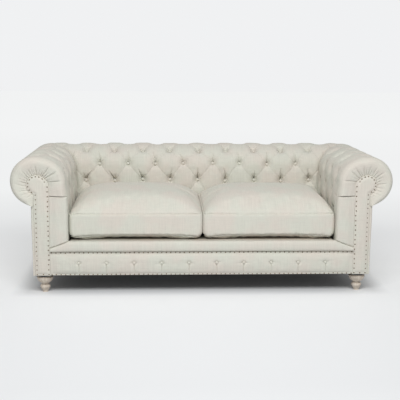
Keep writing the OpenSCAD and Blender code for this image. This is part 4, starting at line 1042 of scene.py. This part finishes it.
# %% Front border
def front_border():
    """A shallow pad: a pit at each button, a fold below it and faint pulls to both sides."""
    half = math.floor(BORDER_X / BORDER_PITCH)
    spots = (np.arange(-half, half) + 0.5) * BORDER_PITCH
    close = np.linspace(-0.016, 0.016, 25)
    ends = BORDER_X - np.array([0.0003, 0.0015])
    xs = np.unique(np.round(np.concatenate([np.linspace(-BORDER_X, BORDER_X, 360), ends, -ends,
                                            (spots[:, None] + close).ravel()]), 5))
    zs = np.linspace(FACING_LOW, RAIL_TOP, 56)
    x, z = np.meshgrid(xs, zs)
    low, top = FACING_LOW + FLANGE_H, RAIL_TOP - FLANGE_H
    button_z = FACING_LOW + 0.53 * (RAIL_TOP - FACING_LOW)
    t = np.clip((z - low) / (top - low), 0, 1)
    arch = np.clip(1 - np.abs(2 * t - 1) ** 2.6, 0, 1) ** 0.62
    end = np.clip((BORDER_X - np.abs(x)) / 0.05, 0, 1)
    level = FACING_T + (BORDER_T - FACING_T) * smooth(end)
    out = FLANGE_T + (level - FLANGE_T) * arch
    rand = np.random.RandomState(92)
    for at in spots:
        dx, dz = x - at, button_z - z
        lean, twin = rand.normal(0, 0.05), rand.uniform(-1, 1)
        down = smooth((dz - 0.004) / 0.010) * (1 - 0.45 * smooth(dz / 0.06))
        off = dx - lean * dz
        fold = 0.0085 * down * np.exp(-(np.abs(off) / 0.0025) ** 1.2)
        second = 0.0035 * down * np.exp(-(np.abs(off - 0.013 * np.sign(twin)) / 0.0022) ** 1.3)
        pit = 0.0100 * np.exp(-(np.hypot(dx, dz) / 0.0125) ** 2.2)
        pulls = sum(0.0013 * np.exp(-(np.abs(dz - k * np.abs(dx)) / 0.004) ** 1.4
                                    - (np.abs(dx) / 0.03) ** 2) for k in rand.uniform(-0.4, 0.4, 3))
        out = out - (fold + second * (abs(twin) > 0.7) + pit + pulls) * np.clip(arch * 1.3, 0, 1)
    out = out + (0.0011 * lattice_noise(x / 0.07, z / 0.035, 92)
                 + 0.0005 * lattice_noise(x / 0.02, z / 0.012, 93)) * arch
    edge = np.clip(np.minimum(z - FACING_LOW, RAIL_TOP - z) / 0.005, 0, 1)
    wave = 0.0006 * lattice_noise(x / 0.013, z / 0.05, 94)
    out = np.maximum(out, FLANGE_T - 0.003) * (0.3 + 0.7 * eased(edge)) + wave * edge
    points = np.stack([x, FRAME_FRONT - GAP - out, z], -1)
    for k in (0, -1):
        points[k, :, 1] = FRAME_FRONT - GAP
        points[:, k, 1] = FRAME_FRONT - GAP
    return points, np.stack([x, z], -1), button_z


points, flat, button_z = front_border()
made = pad_on_grid("front_border_pad", points, flat, LINEN)
finish_soft(made, "root", ["front_border"])
count = math.floor(BORDER_X / BORDER_PITCH)
spots = [(((n + 0.5) * BORDER_PITCH, FRAME_FRONT - GAP - BORDER_T + 0.0062, button_z), (0, -1, 0))
         for n in range(-count, count)]
made = repeat("front_buttons", spots, border_button, LINEN, 0.1, 31)
finish_soft(made, "root", ["border_buttons"])

# %% [markdown]
# ## Seat cushions
# A box cushion: a top and a bottom panel joined by a boxing strip. The cover is cut with
# its real seams and close to its final form, then blown up a little by a cloth simulation
# with the pressure of its stuffing, which puts the natural fullness in it. Left alone the
# pressure would carry the cloth too far, so each point stops at a cap. The seams are drawn
# in afterwards.

# %% The cushion's cover before it is stuffed
CUSHION_X = (0.001, SEAT_X - 0.001)
CUSHION_Y = (FRONT_Y + LIP_DEPTH, SEAT_Y - 0.001)
CUSHION_LOW = DECK_Z + GAP
CUSHION_STEP, CORNER_R, SEAM_IN, NEAR_SEAM = 0.0095, 0.022, 0.007, (0.0025, 0.0060)
# How much lower the crown is before it is stuffed, and how far the stuffing may move a point.
SWELL_ROOM, SWELL_CAP = 0.004, 0.009
# How fully each cushion stands beside its arm (less is fuller), and how deep its top and
# low seams are drawn in.
BESIDE_ARM, SEAMS_DRAWN = {-1: 0.9, 1: 0.6}, (0.0070, 0.0095)


def round_corner(x, y, hx, hy):
    """Bends the corners of a grid with half sides hx, hy to an arc, and their inside too."""
    a = np.clip((np.abs(x) - (hx - CORNER_R)) / CORNER_R, 0, 1)
    b = np.clip((np.abs(y) - (hy - CORNER_R)) / CORNER_R, 0, 1)
    na, nb = a * np.sqrt(1 - b * b / 2), b * np.sqrt(1 - a * a / 2)
    return (np.where(a > 0, np.sign(x) * (hx - CORNER_R + na * CORNER_R), x),
            np.where(b > 0, np.sign(y) * (hy - CORNER_R + nb * CORNER_R), y))


def with_close(low, high, step):
    """Even steps from low to high, and two close ones at each end for the seam."""
    even, ends = np.linspace(low, high, round((high - low) / step) + 1), np.array(NEAR_SEAM)
    room = 1.6 * ends[-1]
    even = even[(even > low + room) & (even < high - room)]
    return np.concatenate([[low], low + ends, even, high - ends[::-1], [high]])


def cushion_mesh(step, arm_flank):
    hx, hy = (CUSHION_X[1] - CUSHION_X[0]) / 2, (CUSHION_Y[1] - CUSHION_Y[0]) / 2
    hx, hy = hx - SEAM_IN, hy - SEAM_IN
    gx, gy = np.meshgrid(with_close(-hx, hx, step), with_close(-hy, hy, step))
    shares = with_close(0, BOXING_H, step) / BOXING_H
    rows, cols = gx.shape
    px, py = round_corner(gx, gy, hx, hy)
    sx, sy = gx / hx, gy / hy
    px = px + 0.003 * sx ** 9 * (1 - np.abs(sy) ** 6)
    py = py + 0.003 * sy ** 9 * (1 - np.abs(sx) ** 6)
    flank = np.where(sx > 0, arm_flank, 0.9)
    dome = (np.clip(1 - np.abs(sx) ** 4.4, 0, 1) ** flank
            * np.clip(1 - np.abs(sy) ** 3.4, 0, 1) ** 0.66)
    tilt = BACK_RISE * (sy + 1) / 2
    high_seam = CUSHION_LOW + BELLY_H + BOXING_H + 0.002 * np.abs(sx) ** 4
    low_seam = (CUSHION_LOW + BELLY_H - 0.014 * np.abs(sx) ** 5 + 0.003 * (1 - sx ** 2)
                + 0.014 * np.abs(sx) ** 34)
    top = np.stack([px, py, high_seam + (CROWN_H - SWELL_ROOM) * dome + tilt], -1)
    belly = np.clip((1 - np.abs(sx) ** 9) * (1 - np.abs(sy) ** 12), 0, 1) ** 0.68
    under = np.stack([px, py, low_seam - (low_seam - CUSHION_LOW - 0.0005) * belly], -1)
    ring = np.array(rim_of(rows, cols))
    t, u = top.reshape(-1, 3), under.reshape(-1, 3)
    points = [t, u]
    faces = grid_faces(rows, cols) + [f[::-1] for f in grid_faces(rows, cols, len(t))]
    start, n = 2 * len(t), len(ring)
    across = t[ring][:, :2] / np.linalg.norm(t[ring][:, :2] / [hx, hy], axis=1, keepdims=True)
    ahead = (np.roll(t[ring], -1, 0) - np.roll(t[ring], 1, 0))[:, :2]
    outward_way = np.stack([ahead[:, 1], -ahead[:, 0]], 1)
    outward_way /= np.linalg.norm(outward_way, axis=1, keepdims=True)
    outward_way *= np.sign((outward_way * across).sum(1, keepdims=True))
    for share in shares[1:-1]:
        loop = u[ring] * (1 - share) + t[ring] * share
        loop[:, :2] += outward_way * SEAM_IN * (4 * share * (1 - share)) ** 0.35
        points.append(loop)
    levels = [ring + len(t)]
    levels += [start + k * n + np.arange(n) for k in range(len(shares) - 2)] + [ring]
    for a, b in zip(levels, levels[1:]):
        faces += [[a[i], a[(i + 1) % n], b[(i + 1) % n], b[i]] for i in range(n)]
    points = np.concatenate(points)
    points[:, 0] += (CUSHION_X[0] + CUSHION_X[1]) / 2
    points[:, 1] += (CUSHION_Y[0] + CUSHION_Y[1]) / 2
    return points, [[int(i) for i in f] for f in faces], ring, len(t)


# %% Stuffing it
def stuffed(obj, seams):
    """Twenty steps of cloth under the pressure of the stuffing, held at the seams; no point
    may move over the cap."""
    start = read(obj.data.vertices, "co", 3)
    held = obj.vertex_groups.new(name="seams")
    held.add([int(i) for i in seams], 1.0, "REPLACE")
    mod = obj.modifiers.new("cloth", "CLOTH")
    c = mod.settings
    c.vertex_group_mass = "seams"
    c.quality, c.mass, c.tension_stiffness, c.compression_stiffness = 6, 0.35, 25, 25
    c.shear_stiffness, c.bending_stiffness = 6, 1.2
    c.use_pressure, c.uniform_pressure_force = True, 2.4
    c.shrink_min = -0.022
    c.effector_weights.gravity = 0
    mod.collision_settings.use_collision = False
    mod.point_cache.frame_start, mod.point_cache.frame_end = 1, 20
    for f in range(1, 21):
        bpy.context.scene.frame_set(f)
    made = evaluated(obj)
    move = read(made.vertices, "co", 3) - start
    obj.modifiers.clear()
    bpy.context.scene.frame_set(1)
    size = np.linalg.norm(move, axis=1, keepdims=True)
    move *= np.minimum(1, SWELL_CAP / np.maximum(size, 1e-9))
    print(f"{obj.name}: the cloth moved {size.mean() * 1000:.1f} mm on average, "
          f"{size.max() * 1000:.1f} mm at most; "
          f"{(size > SWELL_CAP).mean() * 100:.0f} % of its points are held back")
    obj.data.vertices.foreach_set("co", (start + move).ravel())
    bpy.data.meshes.remove(made)


def nearest(points, line):
    """Each point's distance to a closed line of points, each of whose steps is cut in four."""
    ahead = np.roll(line, -1, 0)
    fine = np.concatenate([line + (ahead - line) * k / 4 for k in range(4)])
    found = np.zeros(len(points))
    for at in range(0, len(points), 3000):
        gap = points[at:at + 3000, None] - fine[None]
        found[at:at + 3000] = np.sqrt((gap ** 2).sum(2).min(1))
    return found


def box_weave(mesh, co):
    """Flat coordinates for a box cushion: each face takes the two axes that it lies along."""
    total = read(mesh.polygons, "loop_total", kind=int)
    n = np.repeat(np.abs(read(mesh.polygons, "normal", 3)), total, 0)
    p = co[read(mesh.loops, "vertex_index", kind=int)]
    up, wide = n[:, 2:] > 0.5, (n[:, 1:2] >= n[:, :1])
    flat = np.where(up, p[:, :2], np.where(wide, p[:, [0, 2]], p[:, [1, 2]]))
    layer = mesh.uv_layers.get("weave") or mesh.uv_layers.new(name="weave")
    layer.data.foreach_set("uv", flat.ravel())


def cushion(side, name):
    points, faces, ring, n_top = cushion_mesh(CUSHION_STEP, BESIDE_ARM[side])
    seed = 100 + side
    on_top = points[:, 2] > CUSHION_LOW + BELLY_H + BOXING_H + 0.012
    points[:, 2] += 0.003 * lattice_noise(points[:, 0] / 0.19, points[:, 1] / 0.17, seed) * on_top
    points[:, 0] *= side
    obj = piece(f"{name}_cushion", points, faces, LINEN)
    stuffed(obj, np.concatenate([ring, ring + n_top]))
    co = read(obj.data.vertices, "co", 3)
    seams = co[ring], co[ring + n_top]
    sub = obj.modifiers.new("sub", "SUBSURF")
    sub.levels = sub.render_levels = 1
    mesh = evaluated(obj)
    obj.modifiers.clear()
    obj.vertex_groups.clear()
    obj.data = mesh
    co, normal = read(mesh.vertices, "co", 3), read(mesh.vertices, "normal", 3)
    draw = np.zeros(len(co))
    for seam, drawn in zip(seams, SEAMS_DRAWN):
        near = nearest(co, seam)
        pucker = 1 + 0.6 * lattice_noise((co[:, 0] + co[:, 1]) / 0.016, co[:, 2] / 0.5, seed + 5)
        draw += (drawn * np.exp(-(near / 0.0034) ** 2)
                 + 0.0014 * pucker * np.exp(-(near / 0.014) ** 2))
    draw += 0.0006 * lattice_noise(co[:, 0] / 0.03, (co[:, 1] + co[:, 2]) / 0.03, seed + 6)
    co = co - normal * draw[:, None]
    co[:, 0] = np.clip(co[:, 0] * side, CUSHION_X[0], CUSHION_X[1] + 0.0007) * side
    co[:, 1] = np.clip(co[:, 1], CUSHION_Y[0], CUSHION_Y[1])
    co[:, 2] = np.maximum(co[:, 2], CUSHION_LOW)
    mesh.vertices.foreach_set("co", co.ravel())
    mesh.update()
    box_weave(mesh, co)
    mesh.shade_smooth()
    finish_soft(obj, f"{name}_cushion", [f"{name}_cushion_cover"])


for side, name in SIDES:
    cushion(side, name)

# %% [markdown]
# ## Deck, dust cover and outside panels
# Under the cushions lie the deck pad and the cloth over the springs. A black cloth
# closes the underside, and plain covered panels close the outside of the arms and back.

# %% Flat goods
def laid_sheet(name, x0, x1, y0, y1, z, thick, sag, mat, seed):
    nx, ny = round((x1 - x0) / 0.02), round((y1 - y0) / 0.02)
    x, y = np.meshgrid(np.linspace(x0, x1, nx + 1), np.linspace(y0, y1, ny + 1))
    edge = from_edge(x, x0, x1, y, y0, y1, 0.05)
    drop = sag * (0.6 + 0.4 * lattice_noise(x / 0.14, y / 0.12, seed)) * smooth(edge)
    top = np.stack([x, y, z + 0 * x - drop], -1)
    return pad_on_grid(name, top, np.stack([x, y], -1), mat, top - [0, 0, thick])


DECK_X, DECK_Y = (-SEAT_X + GAP, SEAT_X - GAP), (FRAME_FRONT + LIP_BACK + GAP, SEAT_Y - GAP)


def deck_cushion():
    (x0, x1), (y0, y1) = DECK_X, DECK_Y
    x, y = np.meshgrid(np.linspace(x0, x1, 150), np.linspace(y0, y1, 60))
    low = PAD_Z + 0.002 + GAP
    edge = from_edge(x, x0, x1, y, y0, y1, 0.012)
    top = low + (DECK_Z - low) * (0.72 + 0.28 * eased(edge))
    top = top - 0.0015 * (1 + lattice_noise(x / 0.2, y / 0.17, 7)) * smooth(edge)
    points = np.stack([x, y, np.minimum(top, DECK_Z)], -1)
    under = np.stack([x, y, 0 * x + low], -1)
    return pad_on_grid("deck_padding", points, np.stack([x, y], -1), DECK_LINEN, under)


finish_soft(deck_cushion(), "root", ["deck_pad"])
cloth = laid_sheet("spring_cloth", *DECK_X, *DECK_Y, PAD_Z + 0.0017, 0.0014, 0.0002, BURLAP, 3)
finish_soft(cloth, "root", ["deck_cloth"])


def dust_sheet():
    """The black cloth with a corner cut out at each foot, and its flat size."""
    inset, thick = 0.006, 0.0012
    x1, y0, y1 = FRAME_X - inset, FRAME_FRONT + inset, FRAME_BACK - inset
    cut_x = FRAME_X - FOOT_INSET - FOOT_BOWL
    cut_front = FRAME_FRONT + FRONT_FOOT_INSET + FOOT_BOWL
    cut_rear = FRAME_BACK - FOOT_INSET - FOOT_BOWL
    xs = np.unique(np.concatenate([np.linspace(-x1, x1, 90), [-cut_x, cut_x]]))
    ys = np.unique(np.concatenate([np.linspace(y0, y1, 40), [cut_front, cut_rear]]))
    x, y = np.meshgrid(xs, ys)
    sag = 0.0002 + 0.006 * np.clip((x1 - np.abs(x)) / 0.25, 0, 1) ** 0.8 * np.clip(
        np.minimum(y - y0, y1 - y) / 0.2, 0, 1) ** 0.8
    z = RAIL_Z - GAP - sag
    keep = []
    for j in range(len(ys) - 1):
        for i in range(len(xs) - 1):
            cx, cy = abs((xs[i] + xs[i + 1]) / 2), (ys[j] + ys[j + 1]) / 2
            if cx > cut_x and (cy < cut_front or cy > cut_rear):
                continue
            a = j * len(xs) + i
            keep.append([a, a + 1, a + len(xs) + 1, a + len(xs)])
    top = np.stack([x, y, z], -1).reshape(-1, 3)
    bm = bmesh.new()
    vs = {k: bm.verts.new(top[k]) for k in sorted({k for f in keep for k in f})}
    for f in keep:
        bm.faces.new([vs[k] for k in f])
    bm.normal_update()
    bmesh.ops.solidify(bm, geom=bm.faces[:], thickness=thick)
    mesh = bpy.data.meshes.new("dust_sheet")
    bm.to_mesh(mesh)
    bm.free()
    layer = mesh.uv_layers.new(name="weave")
    flat = [list(mesh.vertices[l.vertex_index].co[:2]) for l in mesh.loops]
    layer.data.foreach_set("uv", np.array(flat).ravel())
    obj = in_scene("dust_sheet", mesh)
    mesh.materials.append(BLACK_CLOTH)
    outward(obj)
    mesh.shade_smooth()
    return obj, (2 * x1, y1 - y0)


dust, dust_flat = dust_sheet()
finish_soft(dust, "root", ["dust_cover"])


# %% Outside panels
def panel(name, width, low, top, place, seed, replaced, swell=0.0):
    rows, cols = round((top - low) / 0.012), round(width / 0.012)
    close = np.array([0.001, 0.0025, 0.005, 0.008])
    ss = np.unique(np.concatenate([np.linspace(0, width, cols), close, width - close]))
    zs = np.unique(np.concatenate([np.linspace(low, top, rows), low + close, top - close]))
    s, z = np.meshgrid(ss, zs)
    edge = from_edge(s, 0, width, z, low, top, 0.006)
    out = (PANEL_T - GAP) * (0.55 + 0.45 * eased(edge))
    out = out - 0.0008 * (1 + lattice_noise(s / 0.16, z / 0.14, seed)) * smooth(edge)
    out = out + swell * smooth((z - low) / (top - low)) * smooth(edge)
    points = np.stack(place(s, z, np.where(edge <= 0, 0, out)), -1)
    made = pad_on_grid(name, points, np.stack([s, z], -1), LINEN)
    finish_soft(made, "root", replaced)


panel_top = float(face_point(np.array(END_V))[1]) - GAP
for side, name in SIDES:
    y0 = FRAME_FRONT - FACING_T
    panel(f"{name}_outside_arm", FRAME_BACK - y0, FACING_LOW, panel_top,
          lambda s, z, h: (side * (FRAME_X + GAP + h), y0 + s, z), 40 + side,
          [f"{name}_outside_arm_panel"], 0.003)
back_half = FRAME_X + PANEL_T
panel("outside_back", 2 * back_half, FACING_LOW, panel_top,
      lambda s, z, h: (s - back_half, FRAME_BACK + GAP + h, z), 44, ["outside_back_panel"])

# %% [markdown]
# ## Studio
# A flat floor of pale paper, one broad soft light high in front, and even air that fills
# the shadows. A white studio is mostly what the camera sees and not what lights the sofa,
# so the paper and the air are lifted only for rays from the camera and for reflections.
# The paper's own shadow under the sofa would be lost by that, so it is left out there.

# %% Studio
for shape in (tuft_button, border_button, nail_shape):
    bpy.data.objects.remove(shape)


def seen(tree):
    """1 for rays from the camera and for reflections, 0 for the light that falls on the sofa."""
    ray = node(tree, "ShaderNodeLightPath")
    return calc(tree, "ADD", ray.outputs["Is Camera Ray"], ray.outputs["Is Glossy Ray"], clamp=True)


def studio_floor():
    """Pale paper glowing for camera rays, a painted light: toward the air's colour with distance,
    and more toward and beside the sofa, but not under it.
    """
    ends = np.linspace(-30, 30, 25)
    mesh = bpy.data.meshes.new("studio_floor")
    mesh.from_pydata([(x, y, 0) for y in ends for x in ends], [], grid_faces(25, 25))
    m = bpy.data.materials.new("studio_paper")
    m.use_nodes = True
    t = m.node_tree
    cut = node(t, "ShaderNodeSeparateXYZ", {0: node(t, "ShaderNodeTexCoord").outputs["Object"]})
    x, y = cut.outputs["X"], cut.outputs["Y"]
    ahead = calc(t, "ADD", y, 0.9)
    away = calc(t, "SQRT", calc(t, "ADD", calc(t, "MULTIPLY", x, x),
                                calc(t, "MULTIPLY", ahead, ahead)))
    closeness = calc(t, "DIVIDE", 1.0, calc(t, "ADD", away, 4.3))
    # Painted light: the paper glows more toward the sofa and beside it, which brightens the sofa's
    # own soft shade on the paper.
    near = calc(t, "ADD", ramp(t, y, -1.9, -0.3, 0.0, 0.19), ramp(t, y, -0.3, 0.1, 0.0, 0.10))
    near = calc(t, "MAXIMUM", near, ramp(t, away, 2.5, 4.0, 0.0, 0.29))
    far = calc(t, "ADD", ramp(t, closeness, 0.1425, 0.110, 0.0, 0.21),
               ramp(t, closeness, 0.110, 0.06, 0.0, 0.09))
    under = calc(t, "MULTIPLY", ramp(t, calc(t, "ABSOLUTE", y), 0.44, 0.54, 0.95, 0.0),
                 ramp(t, calc(t, "ABSOLUTE", x), 1.02, 1.12, 1.0, 0.0))
    painted_glow = calc(t, "MULTIPLY", calc(t, "ADD", near, far), calc(t, "SUBTRACT", 1.0, under))
    fill_in(t, t.nodes["Principled BSDF"], {
        "Base Color": linear(233, 235, 237), "Roughness": 0.95, "Specular IOR Level": 0.0,
        "Emission Color": (0.99, 1.0, 1.0, 1),
        "Emission Strength": calc(t, "MULTIPLY", painted_glow, seen(t))})
    mesh.materials.append(m)
    in_scene("studio_floor", mesh)


def area(name, place, aim, size, power):
    light = bpy.data.lights.new(name, "AREA")
    light.shape, light.size, light.size_y, light.energy = "RECTANGLE", size[0], size[1], power
    obj = in_scene(name, light)
    obj.location = place
    obj.rotation_euler = (Vector(aim) - Vector(place)).to_track_quat("-Z", "Y").to_euler()


studio_floor()
area("key_light", (-0.1, -3.5, 3.75), (0, 0, 0.4), (4.4, 1.8), 157)
AIR, AIR_COLOUR, AIR_SEEN = 0.365, (1.0, 0.99, 0.975, 1), (0.872, 0.880, 0.890, 1)
world = bpy.data.worlds.new("studio_air")
world.use_nodes = True
air, t = world.node_tree.nodes["Background"], world.node_tree
fill_in(t, air, {"Color": blend_colour(t, seen(t), AIR_COLOUR, AIR_SEEN),
                 "Strength": calc(t, "MULTIPLY_ADD", seen(t), 1 - AIR, AIR)})
bpy.context.scene.world = world

# %% [markdown]
# ## Camera
# The place, turn and lens come from a fit of the sofa's corners, buttons and feet to where
# the photo shows them.

# %% Camera
CAMERA_AT, LENS, SENSOR, SIGHT = (-0.2532, -5.2556, 1.3549), 75.79, 36.0, 60
pitch, yaw, roll = 0.16622102, 0.04893171, 0.00684637
ahead = Vector((math.sin(yaw) * math.cos(pitch), math.cos(yaw) * math.cos(pitch),
                -math.sin(pitch)))
level = Vector((math.cos(yaw), -math.sin(yaw), 0))
upright = level.cross(ahead)
right = level * math.cos(roll) + upright * math.sin(roll)
above = upright * math.cos(roll) - level * math.sin(roll)
lens = bpy.data.cameras.new("camera")
lens.lens, lens.sensor_width, lens.clip_end = LENS, SENSOR, SIGHT
camera = in_scene("camera", lens)
camera.matrix_world = Matrix([(right[k], above[k], -ahead[k], CAMERA_AT[k]) for k in range(3)]
                             + [(0, 0, 0, 1)])
bpy.context.scene.camera = camera
bpy.context.scene.view_settings.view_transform = "Standard"
